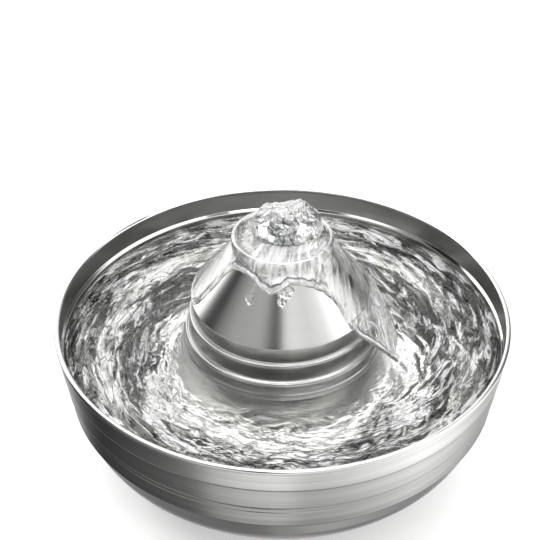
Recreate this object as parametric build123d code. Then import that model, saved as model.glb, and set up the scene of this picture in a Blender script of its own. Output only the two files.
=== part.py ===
"""Pet water fountain: a spun steel bowl, a lift-off dome with a top dish, a filter and a small pump.

Millimetres. +Z is up and the front is -Y. The origin is on the ground, under the centre of the bowl.
"""
from build123d import *
import os
from math import atan2, cos, degrees, pi, radians, sin, tan

# ---- Driving dimensions ----------------------------------------------------------------------
seat_gap = 0.2           # between two pieces of different bodies that rest on each other
slip_gap = 0.05          # radial clearance of a running or push fit
loose_gap = 0.4          # radial clearance of a piece that is dropped in place by hand
edge_round = 1.0         # on moulded edges that a hand meets

# Bowl: one spun sheet with a wired rim, three bands and a round belly
sheet = 1.0
rim_dia = 260.0          # through the middle of the rim wire
rim_wire_dia = 3.0
bowl_depth = 93.0        # underside of the floor to the middle of the rim wire
band_heights = (13.6, 13.4, 13.4)
band_lean = 0.5          # how much each band narrows downwards
band_step_in = 1.5       # radial size of the step under each band
band_step_drop = 1.6
band_bend = 0.7
belly_knee_in = 5.7      # the belly's upper bend, measured from the lowest step
belly_knee_drop = 17.3
belly_share = 0.8        # of the knee's upper run that its bend takes
floor_corner_dia = 183.4  # where the belly's lower slope would meet the floor
floor_share = 0.5        # of that slope that the floor's bend takes
roll_lines = (30.6, 33.4)  # depth of the two fine rolled lines below the rim
roll_line = 0.5          # side of their V-shaped section

# Base tray under the bowl
pad_stand = 2.0          # how far the foot pads stand out of the tray
pad_dia = 18.0
pad_sunk = 1.2
tray_dia = 132.0
tray_height = 12.2
tray_wall = 2.4
tray_floor = 2.0
gasket_thick = 0.8
boss_circle = 52.0       # radius on which the four screws and pads sit
boss_dia = 9.0
standoff_dia = 7.0
standoff_height = 5.0
screw_dia = 3.0
screw_head_dia = 5.6
screw_head_height = 2.0
screw_length = 8.0
screw_slot = 0.6         # width of the cross recess
screw_slot_depth = 0.8

# Power inlet: a barrel socket in the rear wall of the tray
jack_width = 9.0
jack_round = 0.8
jack_length = 14.0
jack_bore_dia = 6.0
jack_bore_depth = 10.0
jack_back_wall = 1.0     # left behind the contact's foot
jack_pin_dia = 2.0
jack_pin_length = 9.0    # of its free end, inside the bore
jack_foot_dia = 1.6
jack_tip_round = 0.6
wire_dia = 1.3
wire_pitch = 2.4
wire_pinch = 0.6         # how much closer the wires lie at the gland
wire_rise = 6.0          # length of the wires' slope up to the socket
wire_bends = (1.5, 6.0, 4.0)

# Sealed lead through the floor of the bowl
lead_dia = 3.6
lead_bend = 14.0
gland_x = 31.0
gland_thread_dia = 10.0
gland_flats = 14.0
gland_flange_height = 3.0
gland_neck_height = 6.0
gland_cap_flats = 13.0
gland_cap_height = 9.0
gland_nut_height = 3.5
gland_washer_thick = 1.2
gland_bush_dia = 7.2
gland_stem_spare = 1.2    # thread left showing under the nut
lead_spare = 0.6         # jacket left showing under the gland
lead_inside = 4.0        # how far the lead reaches into the motor's bore
boot_length = 6.5
boot_wall = 1.6
boot_tip_wall = 0.8

# Pump: a square block on four suction cups, with its shaft along Y
pump_width = 38.0
pump_round = 3.0
pump_axis_x = -11.0
pump_stand = 6.5         # underside of the block above the floor of the bowl
chamber_dia = 30.0
chamber_depth = 9.0
chamber_wall = 2.0
eye_dia = 13.0           # the pump chamber's inlet
eye_hub_dia = 7.6
eye_spoke = 1.4
eye_spokes = 3           # bars right across the inlet
potting_thick = 2.6
motor_bore_dia = 34.0
well_bore_dia = 16.0
well_wall = 1.0
shaft_dia = 2.0
magnet_dia = 14.8
bush_length = 2.4
front_bush_dia = 5.2
end_play = 0.6
sleeve_dia = 6.0
impeller_dia = 25.0
impeller_blades = 6
impeller_wall = 1.4
impeller_gap = 1.0       # to the front and back of the chamber
stator_dia = 33.6
stator_yoke = 2.6
stator_length = 10.0
tooth_width = 4.0
tooth_tip = 0.9          # bare iron between the winding and the well
coil_thick = 2.1
board_thick = 1.2
chip_size = (5.0, 4.0, 1.0)
spigot_dia = 10.3
spigot_bore_dia = 7.6
spigot_height = 10.0
oring_dia = 1.5
oring_land = 0.9         # wall between the chamber and the seal's groove
cover_screw_dia = 2.2
cover_screw_inset = 3.4
cover_screw_grip = 9.0   # depth of the screw holes in the motor block
cover_head_dia = 4.2
cover_head_height = 1.5
cup_dia = 14.0
cup_pitch_x = 24.0
cup_pitch_y = 15.0
cup_waist_dia = 4.4
cup_stem_dia = 5.0
cup_stem_length = 1.6
cup_collar_dia = 8.8
cup_collar_thick = 1.0
cup_wall = 0.8
cup_height = 3.4
intake_depth = 9.0
intake_wall = 1.5
intake_window_dia = 24.0
intake_bars = 6
intake_bar = 3.6
intake_hub_dia = 8.0
dial_pin_dia = 3.0
dial_dia = 28.0
dial_thick = 1.8
dial_grip = (2.4, 3.0, 2.2)
lead_height_on_pump = 4.5  # above the shaft
riser_wall = 1.8

# Filter: a drum over the pump with a ring-shaped cartridge on its shelf
shroud_dia = 96.0
shroud_wall = 1.6
shroud_height = 50.0
shelf_thick = 2.0
shelf_rim = 3.0
flange_thick = 2.0
cartridge_dia = 91.0
cartridge_bore_dia = 19.0
cartridge_wall = 1.4
wool_thick = 5.4
carbon_thick = 7.0
lid_thick = 2.0
slot_width = 2.4
slots_round = 16
slot_margin = 2.5
tab_size = (16.0, 1.8, 4.5)

# Dome: a spun cone on a banded skirt, with a pressed dish on top
dome_sheet = 0.8
dome_bend = 0.4
skirt_bend = 40.0
neck_bend = 5.0
lip_above_rim = 51.0
lip_dia = 54.0           # through the middle of the dish's rolled lip
lip_wire_dia = 2.4
neck_height = 4.6
cone_edge_dia = 105.6
cone_edge_above_rim = 12.5
cone_edge_step = 0.9
upper_band_dia = 104.4
upper_ring_above_rim = 1.6
middle_band_dia = 107.6
lower_ring_below_rim = 9.2
lower_band_dia = 113.8
fine_ring_below_rim = 15.4
skirt_top_dia = 116.2
skirt_knee_dia = 129.0
skirt_knee_below_rim = 46.0
skirt_foot_dia = 132.0
ring_bead_dia = 1.5
bead_proud = 0.15
ring_step_height = 1.6
fine_ring_step = 0.6
band_flare = 0.9         # how much the middle band widens downwards
foot_bend = 20.0
skirt_foot_land = 1.0
inlet_slots = 12
inlet_slot_width = 14.0
inlet_slot_height = 6.0
bumper_wall = 1.0
bumper_height = 4.0
dish_depth = 7.0
dish_corner = 3.0
seal_wall = 1.2
seal_flange = 2.2
nozzle_dia = 15.6
nozzle_bore_dia = 9.6
nozzle_above_lip = 9.0
nozzle_socket_dia = 18.0
nozzle_socket_height = 11.0
nozzle_cap_dia = 14.0
nozzle_cap_thick = 2.2
nozzle_mouth_gap = 2.6
nozzle_wall = 2.0
nozzle_post = 1.7
nozzle_posts = 3
full_round = 0.45        # share of a thickness that a rounded edge takes

# ---- Heights and places worked out from them ---------------------------------------------------
tray_top = pad_stand + tray_height
floor_under = tray_top + gasket_thick
floor_top = floor_under + sheet
rim_z = floor_under + bowl_depth
lip_z = rim_z + lip_above_rim
pump_bottom = floor_top + pump_stand
pump_axis_z = pump_bottom + pump_width / 2
pump_top = pump_bottom + pump_width
shroud_bottom = floor_top + seat_gap
shelf_top = shroud_bottom + shroud_height
cartridge_bottom = shelf_top + seat_gap
chamber_back = chamber_depth / 2         # the joint between pump cover and motor block
cover_front = -chamber_back - chamber_wall
coil_front = chamber_back + chamber_wall + seat_gap
stator_front = coil_front + coil_thick
coil_back = coil_front + stator_length + 2 * coil_thick
board_front = coil_back + lead_dia + 2 * seat_gap
well_end = board_front - seat_gap - well_wall
motor_back = board_front + board_thick + 2 * seat_gap + chip_size[2] + potting_thick
motor_length = motor_back - chamber_back
gland_y = (coil_back + board_front) / 2  # in line with the lead, between the coils and the board
magnet_front = chamber_back + end_play
magnet_length = well_end - bush_length - end_play - magnet_front
jack_z = pad_stand + tray_floor + seat_gap + jack_width / 2
jack_front_y = tray_dia / 2 - seat_gap
lead_z = pump_axis_z + lead_height_on_pump
corner_angles = (45, 135, 225, 315)
bend_limit = 0.48        # share of a run that one bend may take

# ---- Helpers -----------------------------------------------------------------------------------
BOTTOM = (Align.CENTER, Align.CENTER, Align.MIN)
ALONG_Y = Rot(-90, 0, 0)                 # turns an upright solid so that its +Z lies along +Y


def ring(outer_dia, inner_dia, bottom, height):
    """An upright ring."""
    body = Cylinder(outer_dia / 2, height, align=BOTTOM)
    body -= Cylinder(inner_dia / 2, height, align=BOTTOM)
    return Pos(0, 0, bottom) * body


def rod(dia, bottom, height):
    """An upright cylinder."""
    return Pos(0, 0, bottom) * Cylinder(dia / 2, height, align=BOTTOM)


def pump_place(y):
    """The place on the pump's shaft line at y, looking along +Y."""
    return Pos(pump_axis_x, y, pump_axis_z) * ALONG_Y


def shaft_rod(dia, front, length):
    """A cylinder on the pump's shaft line."""
    return pump_place(front) * Cylinder(dia / 2, length, align=BOTTOM)


def shaft_ring(outer_dia, inner_dia, front, length):
    """A ring on the pump's shaft line."""
    return shaft_rod(outer_dia, front, length) - shaft_rod(inner_dia, front, length)


def hex_prism(flats, bottom, height):
    """An upright hexagonal prism of a width across flats."""
    outline = RegularPolygon(flats / 2, 6, major_radius=False)
    return Pos(0, 0, bottom) * extrude(outline, height)


def block(size_x, size_y, size_z, centre, rounding=0.0, axis=Axis.Z):
    """A box about a centre, with its edges along one axis rounded."""
    body = Box(size_x, size_y, size_z)
    if rounding:
        body = fillet(body.edges().filter_by(axis), rounding)
    return Pos(*centre) * body


def radial_slots(count, inner, outer, width, bottom, height):
    """Upright slots that run outwards, for cutting a round plate."""
    slot = Pos((inner + outer) / 2, 0, bottom) * Box(outer - inner, width, height, align=BOTTOM)
    return [Rot(0, 0, 360 * i / count) * slot for i in range(count)]


def at_corners(shape):
    """One copy of an upright shape at each of the four tray screws."""
    return [Rot(0, 0, a) * Pos(boss_circle, 0, 0) * shape for a in corner_angles]


def turn_at(before, corner, after):
    """The angle in radians by which a line turns at a corner, positive to the left."""
    first = atan2(corner[1] - before[1], corner[0] - before[0])
    second = atan2(after[1] - corner[1], after[0] - corner[0])
    return (second - first + pi) % (2 * pi) - pi


def shifted_corners(corners, distance):
    """The corners of the same line moved to its left by a distance."""
    moved = []
    for i, corner in enumerate(corners):
        before = corners[i - 1] if i > 0 else None
        after = corners[i + 1] if i < len(corners) - 1 else None
        first = before or (2 * corner[0] - after[0], 2 * corner[1] - after[1])
        last = after or (2 * corner[0] - before[0], 2 * corner[1] - before[1])
        half_turn = turn_at(first, corner, last) / 2
        heading = atan2(corner[1] - first[1], corner[0] - first[0]) + half_turn
        reach = distance / cos(half_turn)
        moved.append((corner[0] - reach * sin(heading), corner[1] + reach * cos(heading)))
    return moved


def bent_line(corners, bends):
    """A line through corners with rounded bends, each limited by the runs beside it."""
    radii = []
    for i in range(1, len(corners) - 1):
        turn = abs(turn_at(corners[i - 1], corners[i], corners[i + 1]))
        runs = [(Vector(*corners[i]) - Vector(*corners[k])).length for k in (i - 1, i + 1)]
        radii.append(min(bends[i - 1], bend_limit * min(runs) / tan(turn / 2)))
    return FilletPolyline(*corners, radius=radii)


def sheet_section(corners, bends, thickness):
    """The section of a bent sheet: its outer line's corners, inside bend radii and thickness."""
    turns = [turn_at(*corners[i - 1:i + 2]) for i in range(1, len(corners) - 1)]
    outer_bends = [b + thickness if t > 0 else b for b, t in zip(bends, turns)]
    inner_bends = [b if t > 0 else b + thickness for b, t in zip(bends, turns)]
    outer = bent_line(corners, outer_bends)
    inner = bent_line(shifted_corners(corners, thickness), inner_bends)
    ends = [Line(outer @ 0, inner @ 0), Line(outer @ 1, inner @ 1)]
    return make_face([*outer.edges(), *inner.edges(), *[e.edge() for e in ends]])


def spin(section):
    """The solid that a flat section makes when it turns about Z."""
    return revolve(Plane.XZ * section, Axis.Z)


def spun_section(corners):
    """A solid of revolution from the corners of its section."""
    return spin(make_face(Polyline(*corners, close=True).edges()))


def tube(points, bends, dia):
    """A round tube along straight runs joined by arcs."""
    path = FilletPolyline(*points, radius=bends)
    start = Plane(origin=path @ 0, z_dir=path % 0)
    return sweep(start * Circle(dia / 2), path=path)


# ---- Bowl and base -----------------------------------------------------------------------------
def bowl_corners():
    """The bowl's outer line from the middle of the floor up to the rim wire."""
    radius = rim_dia / 2 + sheet / 2
    z = rim_z
    wall = [(radius, z)]
    for height in band_heights:
        radius -= band_lean
        z -= height
        wall.append((radius, z))
        radius -= band_step_in
        z -= band_step_drop
        wall.append((radius, z))
    knee = (radius - belly_knee_in, z - belly_knee_drop)
    return [(0, floor_under), (floor_corner_dia / 2, floor_under), knee, *reversed(wall)]


def make_bowl_shell():
    corners = bowl_corners()
    knee_run = (Vector(*corners[3]) - Vector(*corners[2])).length
    slope_run = (Vector(*corners[2]) - Vector(*corners[1])).length
    knee_bend = belly_share * knee_run / tan(abs(turn_at(*corners[1:4])) / 2)
    floor_bend = floor_share * slope_run / tan(abs(turn_at(*corners[0:3])) / 2)
    section = sheet_section(corners, [floor_bend, knee_bend, *[band_bend] * (len(corners) - 4)], sheet)
    section += Pos(rim_dia / 2, rim_z) * Circle(rim_wire_dia / 2)
    for depth in roll_lines:
        section -= Pos(wall_radius(depth), rim_z - depth) * Rot(0, 0, 45) * Rectangle(roll_line, roll_line)
    bowl = spin(section)
    bowl -= Pos(gland_x, gland_y, 0) * rod(gland_thread_dia + 4 * slip_gap, 0, rim_z)
    return bowl


def wall_radius(depth):
    """The outer radius of the bowl's banded wall at a depth below the rim."""
    corners = bowl_corners()
    for low, high in zip(corners[3:], corners[4:]):
        if low[1] <= rim_z - depth <= high[1]:
            share = (rim_z - depth - low[1]) / (high[1] - low[1])
            return low[0] + share * (high[0] - low[0])
    return corners[3][0]


def make_base_tray():
    tray = rod(tray_dia, pad_stand, tray_height)
    tray -= rod(tray_dia - 2 * tray_wall, pad_stand + tray_floor, tray_height)
    boss_top = floor_under - standoff_height - seat_gap
    tray += at_corners(rod(boss_dia, pad_stand, boss_top - pad_stand))
    tray -= at_corners(rod(pad_dia + 2 * seat_gap, pad_stand, pad_sunk))
    tray -= at_corners(rod(screw_head_dia + loose_gap, pad_stand, screw_seat() - pad_stand))
    tray -= at_corners(rod(screw_dia + loose_gap, pad_stand, tray_height))
    window = jack_width + 2 * slip_gap
    tray -= block(window, 4 * tray_wall, window, (0, tray_dia / 2, jack_z))
    return tray


def screw_seat():
    """The height of the face that the tray screws' heads pull against."""
    return pad_stand + pad_sunk + screw_head_height + seat_gap


def make_base_gasket():
    return ring(tray_dia, tray_dia - 2 * tray_wall, tray_top, gasket_thick)


def make_floor_standoffs():
    post = ring(standoff_dia, screw_dia + 2 * slip_gap, floor_under - standoff_height, standoff_height)
    return Part(children=at_corners(post))


def make_base_screws():
    screw = rod(screw_head_dia, screw_seat() - screw_head_height, screw_head_height)
    screw += rod(screw_dia, screw_seat(), screw_length)
    arm = Pos(0, 0, screw_seat() - screw_head_height)
    arm *= Box(screw_head_dia / 2 + screw_slot, screw_slot, 2 * screw_slot_depth)
    screw -= [arm, Rot(0, 0, 90) * arm]
    return Part(children=at_corners(screw))


def make_foot_pads():
    pad = rod(pad_dia, 0, pad_stand + pad_sunk)
    pad = chamfer(pad.edges().group_by(Axis.Z)[0], 0.5)
    return Part(children=at_corners(pad))


def make_dc_jack():
    centre_y = jack_front_y - jack_length / 2
    body = block(jack_width, jack_length, jack_width, (0, centre_y, jack_z), jack_round, Axis.Y)
    mouth = Pos(0, jack_front_y, jack_z) * Rot(90, 0, 0)
    body -= mouth * Cylinder(jack_bore_dia / 2, jack_bore_depth, align=BOTTOM)
    body -= mouth * Cylinder(jack_foot_dia / 2 + slip_gap, jack_length - jack_back_wall, align=BOTTOM)
    return body


def make_jack_pin():
    """The centre contact, whose thinner foot is held in the back of the socket."""
    foot_length = jack_length - jack_bore_depth - jack_back_wall
    pin = Cylinder(jack_pin_dia / 2, jack_pin_length, align=BOTTOM)
    pin = fillet(pin.edges().sort_by(Axis.Z)[-1], jack_tip_round)
    pin += Pos(0, 0, -foot_length) * Cylinder(jack_foot_dia / 2, foot_length, align=BOTTOM)
    return Pos(0, jack_front_y - jack_bore_depth, jack_z) * ALONG_Y * pin


def lead_end_z():
    """The height at which the lead's jacket ends, under the gland."""
    return gland_stem_end() - lead_spare


def make_jack_wires():
    """Two thin wires from the lead's end under the gland to the back of the socket."""
    low = pad_stand + tray_floor + wire_dia
    wires = []
    for side in (-0.5, 0.5):
        offset = side * wire_pitch
        start_y = gland_y + wire_pinch * offset
        end_y = jack_front_y - jack_length
        points = [(gland_x, start_y, lead_end_z() - slip_gap), (gland_x, start_y, low)]
        points += [(offset, end_y - 2 * wire_rise, low), (offset, end_y - wire_rise, jack_z)]
        points.append((offset, end_y - slip_gap, jack_z))
        wires.append(tube(points, wire_bends, wire_dia))
    print("inlet wire bend radii", wire_bends)
    return Part(children=wires)


# ---- Gland and lead ----------------------------------------------------------------------------
def gland_base():
    """The height of the underside of the gland's flange, on its washer."""
    return floor_top + gland_washer_thick


def gland_neck():
    return gland_base() + gland_flange_height


def gland_stem_end():
    return floor_under - gland_nut_height - gland_stem_spare


def gland_place(shape):
    return Pos(gland_x, gland_y, 0) * shape


def make_gland_body():
    body = hex_prism(gland_flats, gland_base(), gland_flange_height)
    stem = gland_base() - gland_stem_end()
    body += rod(gland_thread_dia, gland_stem_end(), stem + gland_flange_height + gland_neck_height)
    body -= rod(lead_dia + 4 * slip_gap, gland_stem_end(), 3 * stem)
    body -= rod(gland_bush_dia + 2 * slip_gap, gland_neck(), gland_neck_height)
    return gland_place(body)


def make_gland_washer():
    inner = gland_thread_dia + 2 * slip_gap
    return gland_place(ring(gland_flats, inner, floor_top, gland_washer_thick))


def make_gland_nut():
    nut = hex_prism(gland_flats, floor_under - gland_nut_height, gland_nut_height)
    nut -= rod(gland_thread_dia + 2 * slip_gap, 0, floor_under)
    return gland_place(nut)


def make_gland_bush():
    inner = lead_dia + 2 * slip_gap
    return gland_place(ring(gland_bush_dia, inner, gland_neck(), gland_neck_height))


def make_gland_cap():
    cap = hex_prism(gland_cap_flats, gland_neck() + seat_gap, gland_cap_height)
    cap = fillet(cap.edges().group_by(Axis.Z)[-1], edge_round)
    cap -= rod(gland_thread_dia + 2 * slip_gap, gland_neck(), gland_neck_height + slip_gap)
    cap -= rod(lead_dia + 4 * slip_gap, gland_neck(), 2 * gland_cap_height)
    return gland_place(cap)


def lead_inner_x():
    """Where the lead's jacket ends inside the motor's bore."""
    return pump_axis_x + motor_bore_dia / 2 - lead_inside


def make_pump_lead():
    """The jacketed lead: up through the gland and over into the side of the pump."""
    corner = (gland_x, gland_y, lead_z)
    points = [(gland_x, gland_y, lead_end_z()), corner, (lead_inner_x(), gland_y, lead_z)]
    print("pump lead bend radius", lead_bend)
    return tube(points, lead_bend, lead_dia)


def make_lead_boot():
    """A tapered sleeve where the lead enters the pump."""
    face = pump_axis_x + pump_width / 2
    hole = lead_dia / 2 + slip_gap
    boot = Cone(hole + boot_wall, hole + boot_tip_wall, boot_length, align=BOTTOM)
    boot -= Cylinder(hole, boot_length, align=BOTTOM)
    return Pos(face, gland_y, lead_z) * Rot(0, 90, 0) * boot


# ---- Pump --------------------------------------------------------------------------------------
def pump_block(front, length):
    centre = (pump_axis_x, front + length / 2, pump_axis_z)
    return block(pump_width, length, pump_width, centre, pump_round, Axis.Y)


def cover_screw_places():
    reach = pump_width / 2 - cover_screw_inset
    return [Pos(pump_axis_x + x * reach, 0, pump_axis_z + z * reach) for x in (-1, 1) for z in (-1, 1)]


def cup_places():
    middle = chamber_back + motor_length / 2
    return [Pos(pump_axis_x + x * cup_pitch_x / 2, middle + y * cup_pitch_y / 2, 0)
            for x in (-1, 1) for y in (-1, 1)]


def make_pump_housing():
    """The motor block: a potted bore around a closed well in which the rotor turns."""
    body = pump_block(chamber_back, motor_length)
    bore_front = chamber_back + chamber_wall
    body -= shaft_rod(motor_bore_dia, bore_front, motor_length)
    body += shaft_rod(well_bore_dia + 2 * well_wall, chamber_back, well_end + well_wall - chamber_back)
    body -= shaft_rod(well_bore_dia, chamber_back, well_end - chamber_back)
    screw_hole = Cylinder(cover_screw_dia / 2 + slip_gap, cover_screw_grip, align=BOTTOM)
    body -= [place * Pos(0, chamber_back, 0) * ALONG_Y * screw_hole for place in cover_screw_places()]
    stem_hole = rod(cup_stem_dia + 2 * slip_gap, pump_bottom, cup_stem_length)
    body -= [place * stem_hole for place in cup_places()]
    side = Pos(lead_inner_x(), gland_y, lead_z) * Rot(0, 90, 0)
    body -= side * Cylinder(lead_dia / 2 + slip_gap, pump_width, align=BOTTOM)
    return body


def make_suction_cups():
    """Four rubber cups whose stems plug into the underside of the motor block."""
    rise = pump_bottom - floor_top
    stem_top = rise + cup_stem_length - 2 * slip_gap
    rim, waist, stem, collar = cup_dia / 2, cup_waist_dia / 2, cup_stem_dia / 2, cup_collar_dia / 2
    outline = [(0, cup_height / 2), (rim - cup_wall, 0), (rim, 0), (rim, cup_wall), (waist, cup_height)]
    outline += [(waist, rise - cup_collar_thick), (collar, rise - cup_collar_thick), (collar, rise)]
    outline += [(stem, rise), (stem, stem_top), (0, stem_top)]
    cup = Pos(0, 0, floor_top) * spun_section(outline)
    return Part(children=[place * cup for place in cup_places()])


def stator_spokes(shape):
    """One copy of a tooth or coil at each quarter of the stator."""
    return [pump_place(stator_front) * Rot(0, 0, 90 * i) * shape for i in range(4)]


def tooth_inner():
    return well_bore_dia / 2 + well_wall + slip_gap


def make_stator_core():
    inner_dia = stator_dia - 2 * stator_yoke
    core = shaft_ring(stator_dia, inner_dia, stator_front, stator_length)
    reach = inner_dia / 2 + stator_yoke / 2 - tooth_inner()
    tooth = Pos(tooth_inner() + reach / 2, 0, 0) * Box(reach, tooth_width, stator_length, align=BOTTOM)
    core += stator_spokes(tooth)
    return core - shaft_rod(2 * tooth_inner(), stator_front, stator_length)


def make_stator_coils():
    """Four windings, one round each tooth."""
    inner = tooth_inner() + tooth_tip
    width = tooth_width + 2 * coil_thick
    yoke_inner = stator_dia / 2 - stator_yoke
    outer = (yoke_inner ** 2 - (width / 2) ** 2) ** 0.5 - seat_gap
    middle = Pos((inner + outer) / 2, 0, stator_length / 2)
    coil = Box(outer - inner, width, stator_length + 2 * coil_thick)
    coil -= Box(outer - inner, tooth_width + 2 * slip_gap, stator_length + 2 * slip_gap)
    return Part(children=stator_spokes(middle * coil))


def make_driver_board():
    board = shaft_rod(motor_bore_dia - 2 * loose_gap, board_front, board_thick)
    chip = Pos(0, 0, board_thick) * Box(*chip_size, align=BOTTOM)
    return board + pump_place(board_front) * chip


def make_potting_cap():
    """The resin that closes the back of the motor block over the board."""
    return shaft_rod(motor_bore_dia - 2 * slip_gap, motor_back - potting_thick, potting_thick)


def make_rotor_shaft():
    front = cover_front + slip_gap
    return shaft_rod(shaft_dia, front, well_end - front - slip_gap)


def make_rear_bush():
    outer = well_bore_dia - 2 * slip_gap
    return shaft_ring(outer, shaft_dia + slip_gap / 2, well_end - bush_length - slip_gap, bush_length)


def make_front_bush():
    return shaft_ring(front_bush_dia, shaft_dia + slip_gap / 2, cover_front + slip_gap, chamber_wall)


def make_rotor_magnet():
    return shaft_ring(magnet_dia, sleeve_dia + slip_gap, magnet_front, magnet_length)


def make_impeller():
    """Sleeve, back disc and straight blades in one moulding that runs on the fixed shaft."""
    disc_back = chamber_back - impeller_gap
    blade_front = -chamber_back + impeller_gap
    rotor = shaft_rod(sleeve_dia, blade_front, magnet_front + magnet_length - blade_front)
    rotor += shaft_rod(impeller_dia, disc_back - impeller_wall, impeller_wall)
    root = (sleeve_dia + shaft_dia) / 4
    span = impeller_dia / 2 - root
    blade = Box(span, impeller_wall, disc_back - blade_front, align=BOTTOM)
    blade = Pos(root + span / 2, 0, 0) * blade
    for i in range(impeller_blades):
        rotor += pump_place(blade_front) * Rot(0, 0, 360 * i / impeller_blades) * blade
    return rotor - shaft_rod(shaft_dia + 2 * slip_gap, -chamber_depth, 4 * chamber_depth)


def make_pump_cover():
    """The pump chamber, with the inlet eye in front and the outlet spigot on top."""
    body = pump_block(cover_front, chamber_back - cover_front)
    body += rod(spigot_dia, pump_top, spigot_height)
    body -= shaft_rod(chamber_dia, -chamber_back, chamber_depth)
    body -= rod(spigot_bore_dia, pump_axis_z, pump_width + spigot_height)
    eye = shaft_ring(eye_dia, eye_hub_dia, cover_front, chamber_wall)
    spoke = Box(eye_dia, eye_spoke, chamber_wall, align=BOTTOM)
    turns = [Rot(0, 0, 180 * i / eye_spokes) for i in range(eye_spokes)]
    eye -= [pump_place(cover_front) * turn * spoke for turn in turns]
    body -= eye
    body -= shaft_rod(front_bush_dia + 2 * slip_gap, cover_front, chamber_wall)
    groove = (oring_centre_dia() + oring_dia, oring_centre_dia() - oring_dia)
    body -= shaft_ring(*groove, chamber_back - oring_dia, oring_dia)
    hole = Cylinder(cover_screw_dia / 2 + slip_gap, pump_width, align=BOTTOM)
    sink = Cylinder(cover_head_dia / 2 + slip_gap, cover_head_height + slip_gap, align=BOTTOM)
    for place in cover_screw_places():
        body -= place * Pos(0, cover_front, 0) * ALONG_Y * hole
        body -= place * Pos(0, cover_front, 0) * ALONG_Y * sink
    return body


def oring_centre_dia():
    return chamber_dia + oring_dia + oring_land


def make_pump_oring():
    seal = Torus(oring_centre_dia() / 2, oring_dia / 2 - slip_gap)
    return pump_place(chamber_back - oring_dia / 2) * seal


def make_cover_screws():
    screw = Cylinder(cover_head_dia / 2, cover_head_height, align=BOTTOM)
    length = chamber_back - cover_front + cover_screw_grip - 1.0
    screw += Cylinder(cover_screw_dia / 2, length, align=BOTTOM)
    places = [place * Pos(0, cover_front + slip_gap, 0) * ALONG_Y for place in cover_screw_places()]
    return Part(children=[place * screw for place in places])


# ---- Intake ------------------------------------------------------------------------------------
def intake_front():
    return cover_front - seat_gap - intake_depth


def window_slots(front, length):
    """Sector windows between radial bars, shared by the grille and the dial."""
    openings = shaft_ring(intake_window_dia, intake_hub_dia, front, length)
    bar = Box(intake_window_dia / 2, intake_bar, length, align=BOTTOM)
    bar = Pos(intake_window_dia / 4, 0, 0) * bar
    turns = [Rot(0, 0, 360 * i / intake_bars) for i in range(intake_bars)]
    return openings - [pump_place(front) * turn * bar for turn in turns]


def make_intake_grille():
    body = pump_block(intake_front(), intake_depth)
    inner = pump_width - 2 * intake_wall
    centre = (pump_axis_x, intake_front() + intake_wall + intake_depth / 2, pump_axis_z)
    body -= block(inner, intake_depth, inner, centre, pump_round - intake_wall, Axis.Y)
    body -= window_slots(intake_front(), intake_wall)
    pin_length = 2 * dial_thick + intake_wall
    return body + shaft_rod(dial_pin_dia, intake_front() + intake_wall - pin_length, pin_length)


def make_intake_foam():
    inner = pump_width - 2 * intake_wall - 2 * seat_gap
    length = intake_depth - intake_wall - 2 * seat_gap
    centre = (pump_axis_x, cover_front - 2 * seat_gap - length / 2, pump_axis_z)
    return block(inner, length, inner, centre, 1.0, Axis.Y)


def make_flow_dial():
    """A shutter with the same windows, turned to throttle the intake."""
    front = intake_front() - seat_gap - dial_thick
    dial = shaft_rod(dial_dia, front, dial_thick)
    dial -= window_slots(front, dial_thick)
    dial -= shaft_rod(dial_pin_dia + 2 * slip_gap, front, dial_thick)
    width, reach, rise = dial_grip
    grip = Pos(0, (reach - dial_dia) / 2, -rise) * Box(width, reach, rise + dial_thick, align=BOTTOM)
    return dial + pump_place(front) * grip


# ---- Riser and nozzle --------------------------------------------------------------------------
def riser_bottom():
    return pump_top + seat_gap


def riser_dia():
    return spigot_dia + 2 * slip_gap + 2 * riser_wall


def nozzle_bottom():
    return lip_z - dish_depth - 2 * seal_flange - nozzle_socket_height


def riser_top():
    return nozzle_bottom() + nozzle_socket_height - nozzle_wall


def make_riser_tube():
    height = riser_top() - riser_bottom()
    return ring(riser_dia(), spigot_dia + 2 * slip_gap, riser_bottom(), height)


def make_bubbler_nozzle():
    """A socket over the riser, a stem through the dish and a button that spreads the water."""
    top = lip_z + nozzle_above_lip
    mouth = top - nozzle_cap_thick - nozzle_mouth_gap
    body = rod(nozzle_socket_dia, nozzle_bottom(), nozzle_socket_height)
    body += rod(nozzle_dia, nozzle_bottom(), mouth - nozzle_bottom())
    body -= rod(nozzle_bore_dia, nozzle_bottom(), top)
    body -= rod(riser_dia() + 2 * slip_gap, nozzle_bottom(), riser_top() - nozzle_bottom())
    cap = rod(nozzle_cap_dia, top - nozzle_cap_thick, nozzle_cap_thick)
    cap = fillet(cap.edges().group_by(Axis.Z)[-1], full_round * nozzle_cap_thick)
    body += cap
    inner = nozzle_bore_dia / 2
    post = Pos(inner + nozzle_post / 2, 0, mouth - nozzle_wall / 2)
    post *= Box(nozzle_post, nozzle_post, nozzle_mouth_gap + nozzle_wall, align=BOTTOM)
    return body + [Rot(0, 0, 360 * i / nozzle_posts) * post for i in range(nozzle_posts)]


# ---- Filter ------------------------------------------------------------------------------------
def dome_foot_z():
    return floor_top + seat_gap + bumper_wall


def make_pump_shroud():
    """A drum over the pump, open below, with a slotted shelf for the cartridge."""
    bumper_bore = skirt_foot_dia - 2 * dome_sheet - 2 * bumper_wall
    body = rod(shroud_dia, shroud_bottom, shroud_height)
    body += rod(bumper_bore - 2 * loose_gap, shroud_bottom, flange_thick)
    inner_height = shroud_height - shelf_thick
    body -= rod(shroud_dia - 2 * shroud_wall, shroud_bottom, inner_height)
    body -= rod(cartridge_bore_dia + loose_gap, shroud_bottom, shroud_height)
    inner, outer = slot_span()
    shelf = shelf_top - shelf_thick
    body -= radial_slots(slots_round, inner, outer, slot_width, shelf, shelf_thick)
    return body + ring(shroud_dia, cartridge_dia + 2 * loose_gap, shelf_top, shelf_rim)


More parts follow.
